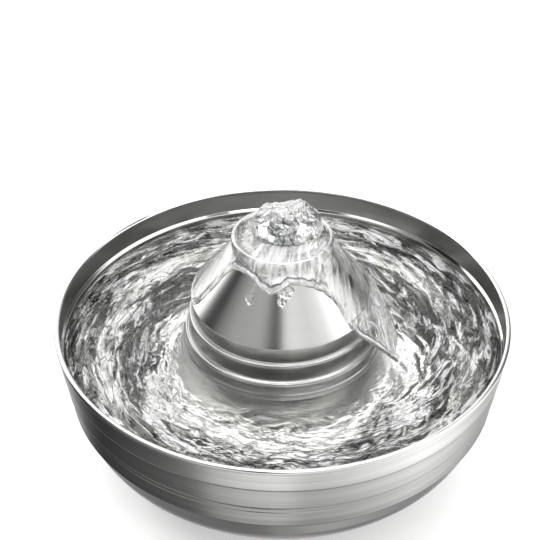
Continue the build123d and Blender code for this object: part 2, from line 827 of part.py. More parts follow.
def slot_span():
    """Inner and outer reach of the water slots, which line up through shelf, frame and lid."""
    inner = cartridge_bore_dia / 2 + cartridge_wall + slot_margin
    outer = cartridge_dia / 2 - cartridge_wall - slot_margin
    return inner, outer


def make_filter_frame():
    height = cartridge_wall + wool_thick + carbon_thick + lid_thick + 3 * seat_gap
    body = ring(cartridge_dia, cartridge_bore_dia, cartridge_bottom, height)
    trough = (cartridge_dia - 2 * cartridge_wall, cartridge_bore_dia + 2 * cartridge_wall)
    body -= ring(*trough, cartridge_bottom + cartridge_wall, height)
    body -= radial_slots(slots_round, *slot_span(), slot_width, cartridge_bottom, cartridge_wall)
    return body


def media_ring(bottom, height):
    outer = cartridge_dia - 2 * cartridge_wall - 2 * seat_gap
    inner = cartridge_bore_dia + 2 * cartridge_wall + 2 * seat_gap
    return ring(outer, inner, bottom, height)


def wool_bottom():
    return cartridge_bottom + cartridge_wall + slip_gap


def carbon_bottom():
    return wool_bottom() + wool_thick + slip_gap


def make_filter_wool():
    return media_ring(wool_bottom(), wool_thick)


def make_filter_carbon():
    return media_ring(carbon_bottom(), carbon_thick)


def make_filter_lid():
    """The slotted lid that holds the media down, with two finger tabs."""
    bottom = carbon_bottom() + carbon_thick + slip_gap
    lid = media_ring(bottom, lid_thick)
    lid -= radial_slots(slots_round, *slot_span(), slot_width, bottom, lid_thick)
    tab = Pos(sum(slot_span()) / 2, 0, bottom + lid_thick) * Box(*tab_size, align=BOTTOM)
    return lid + [Rot(0, 0, turn + 180 / slots_round) * tab for turn in (0, 180)]


# ---- Dome --------------------------------------------------------------------------------------
def dome_corners():
    """The dome's outer line from its foot up to the neck under the dish."""
    neck_dia = lip_dia - dome_sheet
    top = lip_z - lip_wire_dia / 2 - slip_gap
    half = ring_step_height / 2
    return [
        (skirt_foot_dia / 2, dome_foot_z()),
        (skirt_foot_dia / 2, dome_foot_z() + bumper_height + skirt_foot_land),
        (skirt_knee_dia / 2, rim_z - skirt_knee_below_rim),
        (skirt_top_dia / 2, rim_z - fine_ring_below_rim - half / 2),
        (skirt_top_dia / 2 - fine_ring_step, rim_z - fine_ring_below_rim + half / 2),
        (lower_band_dia / 2, rim_z - lower_ring_below_rim - half),
        (middle_band_dia / 2 + band_flare, rim_z - lower_ring_below_rim + half),
        (middle_band_dia / 2, rim_z + upper_ring_above_rim - half),
        (upper_band_dia / 2, rim_z + upper_ring_above_rim + half),
        (cone_edge_dia / 2 - cone_edge_step, rim_z + cone_edge_above_rim - cone_edge_step),
        (cone_edge_dia / 2, rim_z + cone_edge_above_rim),
        (neck_dia / 2, top - neck_height),
        (neck_dia / 2, top),
    ]


def make_dome_cover():
    corners = dome_corners()
    bends = [foot_bend, skirt_bend, *[dome_bend] * (len(corners) - 5), neck_bend]
    section = sheet_section(corners, bends, dome_sheet)
    for low, high in (corners[5:7], corners[7:9]):
        middle = (low[0] + high[0]) / 2 + bead_proud
        section += Pos(middle, (low[1] + high[1]) / 2) * Circle(ring_bead_dia / 2)
    dome = spin(section)
    slot_z = dome_foot_z() + bumper_height + skirt_foot_land + inlet_slot_height / 2
    slot_size = (skirt_foot_dia / 4, inlet_slot_width, inlet_slot_height)
    slot_round = full_round * inlet_slot_height
    slot = block(*slot_size, (skirt_foot_dia / 2, 0, slot_z), slot_round, Axis.X)
    dome -= [Rot(0, 0, 360 * (i + 0.5) / inlet_slots) * slot for i in range(inlet_slots)]
    return dome


def make_skirt_bumper():
    """A U-shaped rubber edging on the dome's foot."""
    outer = skirt_foot_dia / 2
    inner = outer - dome_sheet
    bottom = floor_top + seat_gap
    outline = [(outer + slip_gap, dome_foot_z()), (outer + slip_gap, bottom + bumper_height)]
    outline += [(outer + bumper_wall, bottom + bumper_height), (outer + bumper_wall, bottom)]
    outline += [(inner - bumper_wall, bottom), (inner - bumper_wall, bottom + bumper_height)]
    outline += [(inner - slip_gap, bottom + bumper_height), (inner - slip_gap, dome_foot_z())]
    return spun_section(outline)


def dish_corners():
    """The dish's lower line from the nozzle hole out to the rolled lip."""
    neck = lip_dia / 2 - dome_sheet / 2
    wall = neck - dome_sheet - slip_gap
    floor = lip_z - dish_depth
    hole = nozzle_dia / 2 + loose_gap + seal_wall
    half = dome_sheet / 2
    return [(hole, floor), (wall, floor), (wall, lip_z - half), (lip_dia / 2, lip_z + half)]


def make_top_dish():
    section = sheet_section(dish_corners(), [dish_corner, dome_bend], dome_sheet)
    return spin(section + Pos(lip_dia / 2, lip_z) * Circle(lip_wire_dia / 2))


def make_dish_seal():
    """A rubber grommet in the dish's hole that closes round the nozzle's stem."""
    inner = nozzle_dia / 2 + loose_gap
    web = inner + seal_wall - slip_gap
    flange = web + seal_flange
    low = lip_z - dish_depth - slip_gap
    high = low + dome_sheet + 2 * slip_gap
    outline = [(inner, low - seal_wall), (flange, low - seal_wall), (flange, low), (web, low)]
    outline += [(web, high), (flange, high), (flange, high + seal_wall), (inner, high + seal_wall)]
    return spun_section(outline)


# ---- Export ------------------------------------------------------------------------------------
makers = {
    "bowl_shell": make_bowl_shell,
    "base_tray": make_base_tray,
    "base_gasket": make_base_gasket,
    "floor_standoffs": make_floor_standoffs,
    "base_screws": make_base_screws,
    "foot_pads": make_foot_pads,
    "dc_jack": make_dc_jack,
    "jack_pin": make_jack_pin,
    "jack_wires": make_jack_wires,
    "gland_body": make_gland_body,
    "gland_washer": make_gland_washer,
    "gland_nut": make_gland_nut,
    "gland_bush": make_gland_bush,
    "gland_cap": make_gland_cap,
    "pump_lead": make_pump_lead,
    "lead_boot": make_lead_boot,
    "pump_housing": make_pump_housing,
    "suction_cups": make_suction_cups,
    "stator_core": make_stator_core,
    "stator_coils": make_stator_coils,
    "driver_board": make_driver_board,
    "potting_cap": make_potting_cap,
    "rotor_shaft": make_rotor_shaft,
    "rear_bush": make_rear_bush,
    "front_bush": make_front_bush,
    "rotor_magnet": make_rotor_magnet,
    "impeller": make_impeller,
    "pump_cover": make_pump_cover,
    "pump_oring": make_pump_oring,
    "cover_screws": make_cover_screws,
    "intake_grille": make_intake_grille,
    "intake_foam": make_intake_foam,
    "flow_dial": make_flow_dial,
    "riser_tube": make_riser_tube,
    "bubbler_nozzle": make_bubbler_nozzle,
    "pump_shroud": make_pump_shroud,
    "filter_frame": make_filter_frame,
    "filter_wool": make_filter_wool,
    "filter_carbon": make_filter_carbon,
    "filter_lid": make_filter_lid,
    "dome_cover": make_dome_cover,
    "skirt_bumper": make_skirt_bumper,
    "top_dish": make_top_dish,
    "dish_seal": make_dish_seal,
}

os.makedirs("parts", exist_ok=True)
for node, make in makers.items():
    export_step(make(), f"parts/{node}.step")
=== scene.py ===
# %% [markdown]
# # A pet water fountain in steel and water
#
# The imported solids are the real object: a spun steel bowl, a lift-off dome, a filter and a
# small pump. This script gives every one of them its finish, and adds what no solid can be:
# the water in the bowl, on the dome and in the bubble on top.
#
# The first lines load the solids as a fixed frame, each with its place written into its mesh.
# They could be imported by hand.

# %% Load the frame
import math

import bmesh
import bpy
from mathutils import Matrix, Vector, noise


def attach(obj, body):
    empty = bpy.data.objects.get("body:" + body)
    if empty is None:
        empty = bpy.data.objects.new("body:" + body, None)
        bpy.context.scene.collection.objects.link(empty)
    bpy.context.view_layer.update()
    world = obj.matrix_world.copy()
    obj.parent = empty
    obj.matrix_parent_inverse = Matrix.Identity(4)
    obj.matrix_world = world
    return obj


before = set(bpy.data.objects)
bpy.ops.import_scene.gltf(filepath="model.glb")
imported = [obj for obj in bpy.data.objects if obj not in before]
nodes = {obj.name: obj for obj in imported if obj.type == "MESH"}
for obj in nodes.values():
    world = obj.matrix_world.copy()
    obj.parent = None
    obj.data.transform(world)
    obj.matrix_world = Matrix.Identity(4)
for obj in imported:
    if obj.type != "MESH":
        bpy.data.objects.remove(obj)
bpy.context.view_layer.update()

# %% [markdown]
# ## Camera
#
# A product camera looks down at the bowl from the front, so that the rim is a wide ellipse
# and the water can be seen. The lens is long, and the camera stands half a metre away, which
# keeps the far side of the rim nearly as wide as the near side. The turn is built from three
# plain rotations, because a tracking constraint would leave the tilt to chance.

# %% Camera
camera_data = bpy.data.cameras.new("product_camera")
camera = bpy.data.objects.new("product_camera", camera_data)
bpy.context.scene.collection.objects.link(camera)
camera_data.sensor_width = 36.0
camera_data.lens = 74.3
distance, height = 0.5119, 0.5086
tilt_down, turn_left, roll = 36.07, 0.78, -0.23
camera.matrix_world = (
    Matrix.Translation((0.0, -distance, height))
    @ Matrix.Rotation(math.radians(turn_left), 4, "Z")
    @ Matrix.Rotation(math.radians(90 - tilt_down), 4, "X")
    @ Matrix.Rotation(math.radians(roll), 4, "Z")
)
bpy.context.scene.camera = camera
print("camera at", [round(c, 3) for c in camera.location])

# %% [markdown]
# ## Small helpers
#
# Every colour is written as the sRGB hex value that a colour picker shows, and one function
# turns it to the linear numbers that the shaders count in. Another adds a shader node, sets
# its sockets and links it, which keeps each material short enough to read as a recipe.

# %% Helpers for colours, nodes and pieces
def linear(text, alpha=1.0):
    """The linear colour of an sRGB hex value."""
    parts = [int(text[i:i + 2], 16) / 255 for i in (1, 3, 5)]
    return (*[c / 12.92 if c <= 0.04045 else ((c + 0.055) / 1.055) ** 2.4 for c in parts], alpha)


def add(tree, kind, links=(), values=(), **settings):
    """Adds a shader node; links are (socket, source socket), values are (socket, value)."""
    node = tree.nodes.new("ShaderNode" + kind)
    for name, value in settings.items():
        setattr(node, name, value)
    for socket, value in dict(values).items():
        node.inputs[socket].default_value = value
    for socket, source in links:
        tree.links.new(source, node.inputs[socket])
    return node


def new_material(name, **values):
    """A material with one Principled shader, whose sockets take plain values."""
    material = bpy.data.materials.new(name)
    material.use_nodes = True
    shader = material.node_tree.nodes["Principled BSDF"]
    for socket, value in values.items():
        shader.inputs[socket.replace("_", " ")].default_value = value
    return material, material.node_tree, shader


def give(material, *names):
    """Puts a material on CAD nodes."""
    for name in names:
        mesh = nodes[name].data
        if not mesh.materials:
            mesh.materials.append(material)
        for i in range(len(mesh.materials)):
            mesh.materials[i] = material


def ramp_stops(node, stops, mode="EASE"):
    """Sets a colour ramp from (place, grey) or (place, colour) pairs."""
    ramp = node.color_ramp
    ramp.interpolation = mode
    while len(ramp.elements) > 1:
        ramp.elements.remove(ramp.elements[-1])
    for i, (place, colour) in enumerate(stops):
        stop = ramp.elements[0] if i == 0 else ramp.elements.new(place)
        stop.position = place
        stop.color = colour if hasattr(colour, "__len__") else (colour, colour, colour, 1)


MM = 0.001

# %% [markdown]
# ## Floor and light tent
#
# Steel has hardly any colour of its own: what the eye sees is the room in it. Product
# photographers put a steel bowl in a white tent and hang black cards outside it, and each card
# becomes a soft dark streak on the metal. Real cards and lamps could be modelled, but a world
# shader does the same with two ramps round the horizon, one for what comes from above it and
# one for below, and it has no edges to get in the way of the camera. The plain backdrop that
# the camera itself sees stays white. The floor isn't mirrored in the steel, as with a bowl
# photographed on a glass table, but an even grey far below stands for the table's shade, and
# overhead hangs a grid of bright bars and gaps, which the water breaks into glints.

# %% Floor
floor_mesh = bpy.data.meshes.new("studio_floor")
shape = bmesh.new()
bmesh.ops.create_circle(shape, cap_ends=True, segments=96, radius=6.0)
shape.to_mesh(floor_mesh)
shape.free()
floor = bpy.data.objects.new("studio_floor", floor_mesh)
bpy.context.scene.collection.objects.link(floor)
floor.visible_glossy = False
floor.visible_transmission = False
floor_material, tree, shader = new_material(
    "matt white table", Base_Color=linear("#F4F4F3"), Roughness=0.9, Specular_IOR_Level=0.2,
    Emission_Color=linear("#FFFFFF"), Emission_Strength=0.32)
floor_mesh.materials.append(floor_material)
print("floor:", floor_material.name)

# %% The light tent
world = bpy.data.worlds.new("light_tent")
bpy.context.scene.world = world
world.use_nodes = True
tree = world.node_tree
tree.nodes.clear()


def round_horizon(stops):
    """Ramp stops from (degrees from the front, positive to the right; grey)."""
    return [((degrees + 180) / 360, grey) for degrees, grey in stops]


above = [(-180, 1.1), (-150, 1.6), (-128, 2.0), (-113, 1.9), (-106, 0.02), (-90, 0.02),
         (-80, 0.25), (-62, 0.45), (-26, 0.5), (-16, 0.2), (-11, 0.0), (-2, 0.0), (3, 1.0),
         (14, 1.0), (36, 0.85), (56, 1.0), (72, 1.6), (100, 1.3), (116, 0.1), (136, 0.06),
         (150, 0.9), (180, 1.1)]
below = [(-180, 1.1), (-160, 1.0), (-144, 0.62), (-128, 0.15), (-112, 0.045), (-66, 0.045),
         (-50, 0.25), (-34, 0.9), (-16, 1.2), (0, 1.4), (15, 0.95), (32, 1.1), (48, 1.35),
         (64, 1.6), (80, 1.9), (96, 1.6), (112, 1.2), (128, 0.8), (144, 0.65), (160, 1.2),
         (180, 1.1)]
where = add(tree, "TexCoord")
axes = add(tree, "SeparateXYZ", [("Vector", where.outputs["Generated"])])
front = add(tree, "Math", [(0, axes.outputs["Y"])], {1: -1.0}, operation="MULTIPLY")
angle = add(tree, "Math", [(0, axes.outputs["X"]), (1, front.outputs[0])], operation="ARCTAN2")
turn = add(tree, "Math", [(0, angle.outputs[0])], {1: 1 / math.tau, 2: 0.5},
           operation="MULTIPLY_ADD")
high = add(tree, "ValToRGB", [("Fac", turn.outputs[0])])
ramp_stops(high, round_horizon(above))
low = add(tree, "ValToRGB", [("Fac", turn.outputs[0])])
ramp_stops(low, round_horizon(below))
deep = add(tree, "MapRange", [("Value", axes.outputs["Z"])],
           {"From Min": -0.95, "From Max": -0.55, "To Min": 0.5, "To Max": 1.0})
shaded = add(tree, "Mix", [("Factor", deep.outputs[0]), (7, low.outputs[0])],
             {6: (0.0, 0.0, 0.0, 1.0)}, data_type="RGBA")
table = add(tree, "MapRange", [("Value", axes.outputs["Z"])],
            {"From Min": -0.85, "From Max": -0.7, "To Min": 0.32, "To Max": 0.0})
under = add(tree, "VectorMath", [(0, shaded.outputs[2]), (1, table.outputs[0])],
            operation="MAXIMUM")
rise = add(tree, "MapRange", [("Value", axes.outputs["Z"])], {"From Min": -0.3, "From Max": 0.05})
sides = add(tree, "Mix", [("Factor", rise.outputs[0]), (6, under.outputs[0]), (7, high.outputs[0])],
            data_type="RGBA")
roof = add(tree, "MapRange", [("Value", axes.outputs["Z"])], {"From Min": 0.68, "From Max": 0.8})
spread = add(tree, "VectorMath", [(0, where.outputs["Generated"]), (1, axes.outputs["Z"])],
             operation="DIVIDE")
crate = add(tree, "TexWave", [("Vector", spread.outputs[0])],
            {"Scale": 0.62, "Distortion": 1.4, "Detail": 1.0, "Detail Scale": 1.0,
             "Phase Offset": 0.6},
            wave_type="BANDS", bands_direction="DIAGONAL")
bars = add(tree, "MapRange", [("Value", crate.outputs["Fac"])],
           {"From Min": 0.12, "From Max": 0.34, "To Min": 0.02, "To Max": 3.2})
tent = add(tree, "Mix", [("Factor", roof.outputs[0]), (6, sides.outputs[2]), (7, bars.outputs[0])],
           data_type="RGBA")
backdrop = add(tree, "Background", values={"Color": linear("#FCFCFC"), "Strength": 1.0})
light = add(tree, "Background", [("Color", tent.outputs[2])], {"Strength": 1.0})
seen = add(tree, "LightPath")
pick = add(tree, "MixShader", [(0, seen.outputs["Is Camera Ray"]), (1, light.outputs[0]),
                               (2, backdrop.outputs[0])])
add(tree, "OutputWorld", [("Surface", pick.outputs[0])])
bpy.context.scene.view_settings.view_transform = "Standard"
print("tent cards:", len(above) + len(below))

# %% [markdown]
# ## Steel
#
# The bowl is type 304 stainless, spun on a lathe and then satin brushed while it turned, so
# its grain runs round the axis. Such a grain stretches every reflection across itself, which
# gives the long streaks down the wall. A picture of brushed metal could be wrapped round it,
# but here the shader's own anisotropy does the stretching, with its tangent round Z, and a
# very fine noise in height alone makes the grain. Real grain is about 0.05 mm apart and too
# fine to show, so it is drawn at 0.5 mm.
#
# A table of heights tones the steel from bottom to top. It is painted shade: the belly is darker,
# and the steps between the bowl's bands are narrow dark dips in it, shade painted into the grooves.

# %% Spun steel
object_top = 170              # mm, where the tables of tones end


def spun_steel(name, colour, roughness, stretch, grain, streaks, tones):
    """Spun stainless whose grain and streaks run round Z; tones = (height in mm, share of the
    colour) pairs, a shade painted by height. Returns the material and the nodes that a further
    finish builds on."""
    material, tree, shader = new_material(
        name, Base_Color=linear(colour), Metallic=1.0, Roughness=roughness, Anisotropic=stretch)
    place = add(tree, "TexCoord")
    tangent = add(tree, "Tangent", direction_type="RADIAL", axis="Z")
    tree.links.new(tangent.outputs[0], shader.inputs["Tangent"])
    lines = add(tree, "Mapping", [("Vector", place.outputs["Object"])],
                {"Scale": (12.0, 12.0, 1 / (0.5 * MM))})
    fine = add(tree, "TexNoise", [("Vector", lines.outputs[0])],
               {"Scale": 1.0, "Detail": 3.0, "Roughness": 0.6})
    bump = add(tree, "Bump", [("Height", fine.outputs["Fac"])],
               {"Strength": grain, "Distance": 0.02 * MM})
    tree.links.new(bump.outputs[0], shader.inputs["Normal"])
    broad = add(tree, "TexNoise", [("Vector", place.outputs["Object"])],
                {"Scale": 1 / (45 * MM), "Detail": 2.0})
    gloss = add(tree, "MapRange", [("Value", broad.outputs["Fac"])],
                {"From Min": 0.3, "From Max": 0.7, "To Min": roughness * 0.88,
                 "To Max": roughness * 1.12})
    bands = add(tree, "Mapping", [("Vector", place.outputs["Object"])],
                {"Scale": (5.0, 5.0, 1 / (2.2 * MM))})
    streak = add(tree, "TexNoise", [("Vector", bands.outputs[0])],
                 {"Scale": 1.0, "Detail": 4.0, "Roughness": 0.7})
    tone = add(tree, "MapRange", [("Value", streak.outputs["Fac"])],
               {"From Min": 0.3, "From Max": 0.7, "To Min": 1 - 2 * streaks, "To Max": 1 + streaks})
    tinted = add(tree, "VectorMath", [("Scale", tone.outputs[0])], {0: linear(colour)[:3]},
                 operation="SCALE")
    axes = add(tree, "SeparateXYZ", [("Vector", place.outputs["Object"])])
    share = add(tree, "MapRange", [("Value", axes.outputs["Z"])], {"From Max": object_top * MM})
    shade_ramp_by_height = add(tree, "ValToRGB", [("Fac", share.outputs[0])])
    ramp_stops(shade_ramp_by_height, [(z / object_top, grey) for z, grey in tones], "LINEAR")
    height_shaded = add(tree, "VectorMath", [(0, tinted.outputs[0]), (1, shade_ramp_by_height.outputs[0])],
                operation="MULTIPLY")
    return material, tree, shader, place, axes, height_shaded, gloss


# %% [markdown]
# The bowl's inside was only polished. Where it is wet it is smooth and bright, and the collar
# above the water is dry and dull, and its darker colour is painted shade. A second material
# could do this, but the sheet is one mesh, so one Mix tells inside from outside by the way the
# surface faces, and another tells the upright dry collar from the rest by height and tilt.

# %% Bowl steel
wet_colour, wet_roughness = linear("#F4F4F2"), 0.05
# The collar's darker colour is painted shade; its higher roughness is the dull dry steel.
collar_shade_colour, dry_roughness, dry_above = linear("#8E8E8C"), 0.3, 90 * MM
# The tones paint shade: darker towards the belly, with dark dips at the three band steps.
bowl_steel, tree, shader, place, axes, height_shaded, gloss = spun_steel(
    "satin brushed stainless 304", "#E0E0DE", 0.2, 0.6, 0.35, 0.07,
    [(0, 0.5), (50, 0.45),
     (62, 0.49), (62.7, 0.2), (64.3, 0.2), (65, 0.51), (70, 0.62),
     (77.1, 0.66), (77.8, 0.25), (79.3, 0.25), (80, 0.68),
     (92.1, 0.78), (92.8, 0.3), (94.3, 0.3), (95, 0.9), (97, 1.0), (object_top, 1.0)])
facing = add(tree, "NewGeometry")
outward = add(tree, "VectorMath", [(0, place.outputs["Object"])], {1: (1.0, 1.0, 0.0)},
              operation="MULTIPLY")
dot = add(tree, "VectorMath", [(0, outward.outputs[0]), (1, facing.outputs["Normal"])],
          operation="DOT_PRODUCT")
inner = add(tree, "MapRange", [("Value", dot.outputs["Value"])],
            {"From Min": 0.002, "From Max": -0.002})
above_water = add(tree, "MapRange", [("Value", axes.outputs["Z"])],
                  {"From Min": dry_above, "From Max": dry_above + MM})
tilt = add(tree, "SeparateXYZ", [("Vector", facing.outputs["Normal"])])
upright = add(tree, "MapRange", [("Value", tilt.outputs["Z"])], {"From Min": 0.5, "From Max": 0.2})
dry = add(tree, "Math", [(0, above_water.outputs[0]), (1, upright.outputs[0])],
          operation="MULTIPLY")
wet_or_dry = add(tree, "Mix", [("Factor", dry.outputs[0])], {6: wet_colour, 7: collar_shade_colour},
                 data_type="RGBA")
whole = add(tree, "Mix", [("Factor", inner.outputs[0]), (6, height_shaded.outputs[0]),
                          (7, wet_or_dry.outputs[2])], data_type="RGBA")
tree.links.new(whole.outputs[2], shader.inputs["Base Color"])
smooth = add(tree, "MapRange", [("Value", dry.outputs[0])],
             {"To Min": wet_roughness, "To Max": dry_roughness})
matt = add(tree, "Mix", [("Factor", inner.outputs[0]), (2, gloss.outputs[0]),
                         (3, smooth.outputs[0])])
tree.links.new(matt.outputs[0], shader.inputs["Roughness"])
give(bowl_steel, "bowl_shell")
print("bowl steel nodes:", len(tree.nodes))

# %% [markdown]
# The dome is polished brighter than the bowl. Its skirt, below the cone, is a little duller.

# %% Dome steel
skirt_top, skirt_roughness = 119.5 * MM, 0.22
# The tone table paints the dome darker from 84 to 96 mm, round the water line: painted shade.
dome_steel, tree, shader, place, axes, height_shaded, gloss = spun_steel(
    "bright spun stainless 304", "#E0E0DE", 0.15, 0.9, 0.1, 0.01,
    [(0, 1.0), (60, 1.0), (84, 0.75), (96, 0.75), (119, 0.9), (122, 1.0), (object_top, 1.0)])
tree.links.new(height_shaded.outputs[0], shader.inputs["Base Color"])
duller = add(tree, "MapRange", [("Value", axes.outputs["Z"]), ("To Max", gloss.outputs[0])],
             {"From Min": skirt_top, "From Max": skirt_top + MM, "To Min": skirt_roughness})
tree.links.new(duller.outputs[0], shader.inputs["Roughness"])
give(dome_steel, "dome_cover", "top_dish", "floor_standoffs")
print("dome steel nodes:", len(tree.nodes))

# %% [markdown]
# ## Moulded plastics
#
# The tray, the pump's shell, the cable gland and the filter's frame are injection moulded. A
# moulded surface isn't perfectly even: the steel mould was eroded by sparks, which leaves a
# fine pebbled texture of 0.3 to 0.5 mm, and the melt left soft clouds of gloss. Both are noise,
# one as a bump and one in the roughness. One recipe serves all of them, and colour, gloss and
# texture make it ABS, nylon, acetal or polypropylene.

# %% Moulded plastics
def moulded(name, colour, roughness, pebble, depth, ior=1.5, see_through=0.0):
    """Injection-moulded plastic: pebbled by its mould, with soft clouds of tone and gloss."""
    material, tree, shader = new_material(
        name, Base_Color=linear(colour), Roughness=roughness, IOR=ior,
        Transmission_Weight=see_through)
    place = add(tree, "TexCoord")
    spark = add(tree, "TexNoise", [("Vector", place.outputs["Object"])],
                {"Scale": 1 / (pebble * MM), "Detail": 2.0, "Roughness": 0.55})
    bump = add(tree, "Bump", [("Height", spark.outputs["Fac"])],
               {"Strength": 0.6, "Distance": depth * MM})
    tree.links.new(bump.outputs[0], shader.inputs["Normal"])
    cloud = add(tree, "TexNoise", [("Vector", place.outputs["Object"])],
                {"Scale": 1 / (12 * MM), "Detail": 3.0, "Roughness": 0.5, "Distortion": 0.8})
    gloss = add(tree, "MapRange", [("Value", cloud.outputs["Fac"])],
                {"From Min": 0.3, "From Max": 0.7, "To Min": roughness * 0.85,
                 "To Max": roughness * 1.2})
    tree.links.new(gloss.outputs[0], shader.inputs["Roughness"])
    tone = add(tree, "MapRange", [("Value", cloud.outputs["Fac"])],
               {"From Min": 0.3, "From Max": 0.7, "To Min": 0.92, "To Max": 1.05})
    tint = add(tree, "VectorMath", [("Scale", tone.outputs[0])], {0: linear(colour)[:3]},
               operation="SCALE")
    tree.links.new(tint.outputs[0], shader.inputs["Base Color"])
    return material


give(moulded("black ABS, spark textured", "#2B2C2E", 0.5, 0.5, 0.03), "base_tray")
give(moulded("dark grey ABS, semi gloss", "#3E4042", 0.34, 0.6, 0.012), "pump_housing",
     "pump_cover")
give(moulded("light grey ABS", "#B9BCBD", 0.38, 0.5, 0.015), "intake_grille")
give(moulded("blue-grey acetal, self coloured", "#7E93A3", 0.3, 0.7, 0.01, 1.48), "flow_dial")
give(moulded("white acetal, machined smooth", "#EDEDE8", 0.28, 0.7, 0.008, 1.48), "impeller")
give(moulded("black nylon 66, gland", "#1F2022", 0.42, 0.4, 0.02, 1.53), "gland_body", "gland_nut",
     "gland_cap")
give(moulded("black polyester, connector", "#18191A", 0.3, 0.6, 0.01, 1.57), "dc_jack")
give(moulded("natural polypropylene, frosted", "#DDE1E0", 0.4, 0.5, 0.015, 1.49), "pump_shroud")
give(moulded("white polypropylene", "#F0F1EE", 0.36, 0.5, 0.012, 1.49), "filter_frame",
     "filter_lid")
give(moulded("clear polycarbonate, polished mould", "#FCFEFE", 0.05, 2.0, 0.003, 1.585, 0.97),
     "bubbler_nozzle")
print("moulded plastics: 10 finishes on 14 nodes")

# %% [markdown]
# ## Rubber and silicone
#
# Rubber parts are pressed and cured in a mould. They are matt, because their skin is full of
# pores finer than the eye can part, and a pale bloom comes out of black rubber with age.
# Silicone stays cleaner and lets some light through, which the subsurface weight gives.

# %% Rubber and silicone
def rubber(name, colour, bloom, roughness, glow=0.0):
    """Pressed rubber: pores in the bump, a pale bloom in patches, and glow for silicone."""
    material, tree, shader = new_material(
        name, Base_Color=linear(colour), Roughness=roughness, IOR=1.45, Subsurface_Weight=glow,
        Subsurface_Radius=(1.0, 1.0, 1.0), Subsurface_Scale=1.5 * MM)
    place = add(tree, "TexCoord")
    pores = add(tree, "TexVoronoi", [("Vector", place.outputs["Object"])],
                {"Scale": 1 / (0.35 * MM)})
    bump = add(tree, "Bump", [("Height", pores.outputs["Distance"])],
               {"Strength": 0.35, "Distance": 0.03 * MM})
    tree.links.new(bump.outputs[0], shader.inputs["Normal"])
    patches = add(tree, "TexNoise", [("Vector", place.outputs["Object"])],
                  {"Scale": 1 / (6 * MM), "Detail": 5.0, "Roughness": 0.65})
    amount = add(tree, "MapRange", [("Value", patches.outputs["Fac"])],
                 {"From Min": 0.45, "From Max": 0.75})
    skin = add(tree, "Mix", [("Factor", amount.outputs[0])], {6: linear(colour), 7: linear(bloom)},
               data_type="RGBA")
    tree.links.new(skin.outputs[2], shader.inputs["Base Color"])
    return material


give(rubber("black nitrile rubber", "#1C1C1D", "#2E2E2F", 0.62), "pump_oring", "rear_bush",
     "front_bush", "gland_washer", "gland_bush")
give(rubber("grey ethylene rubber", "#3A3B3C", "#4A4B4B", 0.7), "foot_pads", "base_gasket")
give(rubber("charcoal silicone, skirt edging", "#55585A", "#626566", 0.45, 0.1), "skirt_bumper")
give(rubber("clear-grey silicone", "#C4C9C9", "#D6DADA", 0.35, 0.5), "suction_cups", "riser_tube",
     "dish_seal")
give(rubber("black soft PVC, lead jacket", "#222324", "#2F3031", 0.48), "pump_lead", "lead_boot")
print("rubbers: 5 finishes on 13 nodes")

# %% [markdown]
# ## Pump metals and magnet
#
# The stator is a stack of stamped silicon-steel sheets, half a millimetre each, with coils of
# enamelled copper. A band texture along the stack draws the sheets, and one round the winding
# draws the wire. The rotor is a pressed ferrite ring: dull, dark and a little grainy. Screws
# are drawn stainless wire with a cold-formed head, and the inlet's pin is nickel on brass.

# %% Layered metals
def layered(name, colour, gap_colour, pitch, direction, roughness, metallic=1.0, rough_edges=0.0):
    """Metal in thin layers or turns: bands of its colour with a darker gap every pitch mm."""
    material, tree, shader = new_material(name, Base_Color=linear(colour), Metallic=metallic,
                                          Roughness=roughness)
    place = add(tree, "TexCoord")
    wave = add(tree, "TexWave", [("Vector", place.outputs["Object"])],
               {"Scale": 0.314 / (pitch * MM), "Distortion": rough_edges, "Detail": 2.0,
                "Detail Scale": 2.0},
               wave_type="BANDS", bands_direction=direction)
    gap = add(tree, "MapRange", [("Value", wave.outputs["Fac"])],
              {"From Min": 0.05, "From Max": 0.3})
    skin = add(tree, "Mix", [("Factor", gap.outputs[0])],
               {6: linear(gap_colour), 7: linear(colour)}, data_type="RGBA")
    tree.links.new(skin.outputs[2], shader.inputs["Base Color"])
    bump = add(tree, "Bump", [("Height", wave.outputs["Fac"])],
               {"Strength": 0.7, "Distance": 0.2 * pitch * MM})
    tree.links.new(bump.outputs[0], shader.inputs["Normal"])
    return material


give(layered("stamped silicon steel, stacked", "#8C8F93", "#3C3E41", 0.5, "Z", 0.42, 1.0, 0.2),
     "stator_core")
give(layered("enamelled copper winding", "#B5652F", "#4A2313", 0.35, "X", 0.3, 0.9, 0.6),
     "stator_coils")
give(layered("cold-formed A2 stainless", "#C4C5C6", "#8E9092", 0.5, "Z", 0.28), "base_screws",
     "cover_screws")
give(layered("nickel-plated brass", "#CFC8B4", "#A9A18A", 0.4, "Y", 0.22), "jack_pin")

# %% Ferrite and ceramic
def grained(name, colour, speck, size, depth, roughness, metallic=0.0, ior=1.5):
    """Pressed and fired powder: specks of another tone and a slightly grainy skin."""
    material, tree, shader = new_material(name, Base_Color=linear(colour), Roughness=roughness,
                                          Metallic=metallic)
    if not metallic:
        shader.inputs["IOR"].default_value = ior
    place = add(tree, "TexCoord")
    grain = add(tree, "TexVoronoi", [("Vector", place.outputs["Object"])],
                {"Scale": 1 / (size * MM)})
    wide = add(tree, "TexNoise", [("Vector", place.outputs["Object"])],
               {"Scale": 1 / (5 * size * MM), "Detail": 4.0})
    mixed = add(tree, "Math", [(0, grain.outputs["Distance"]), (1, wide.outputs["Fac"])],
                operation="MULTIPLY")
    share = add(tree, "MapRange", [("Value", mixed.outputs[0])],
                {"From Min": 0.05, "From Max": 0.4})
    skin = add(tree, "Mix", [("Factor", share.outputs[0])], {6: linear(speck), 7: linear(colour)},
               data_type="RGBA")
    tree.links.new(skin.outputs[2], shader.inputs["Base Color"])
    bump = add(tree, "Bump", [("Height", mixed.outputs[0])],
               {"Strength": 0.5, "Distance": depth * MM})
    tree.links.new(bump.outputs[0], shader.inputs["Normal"])
    return material


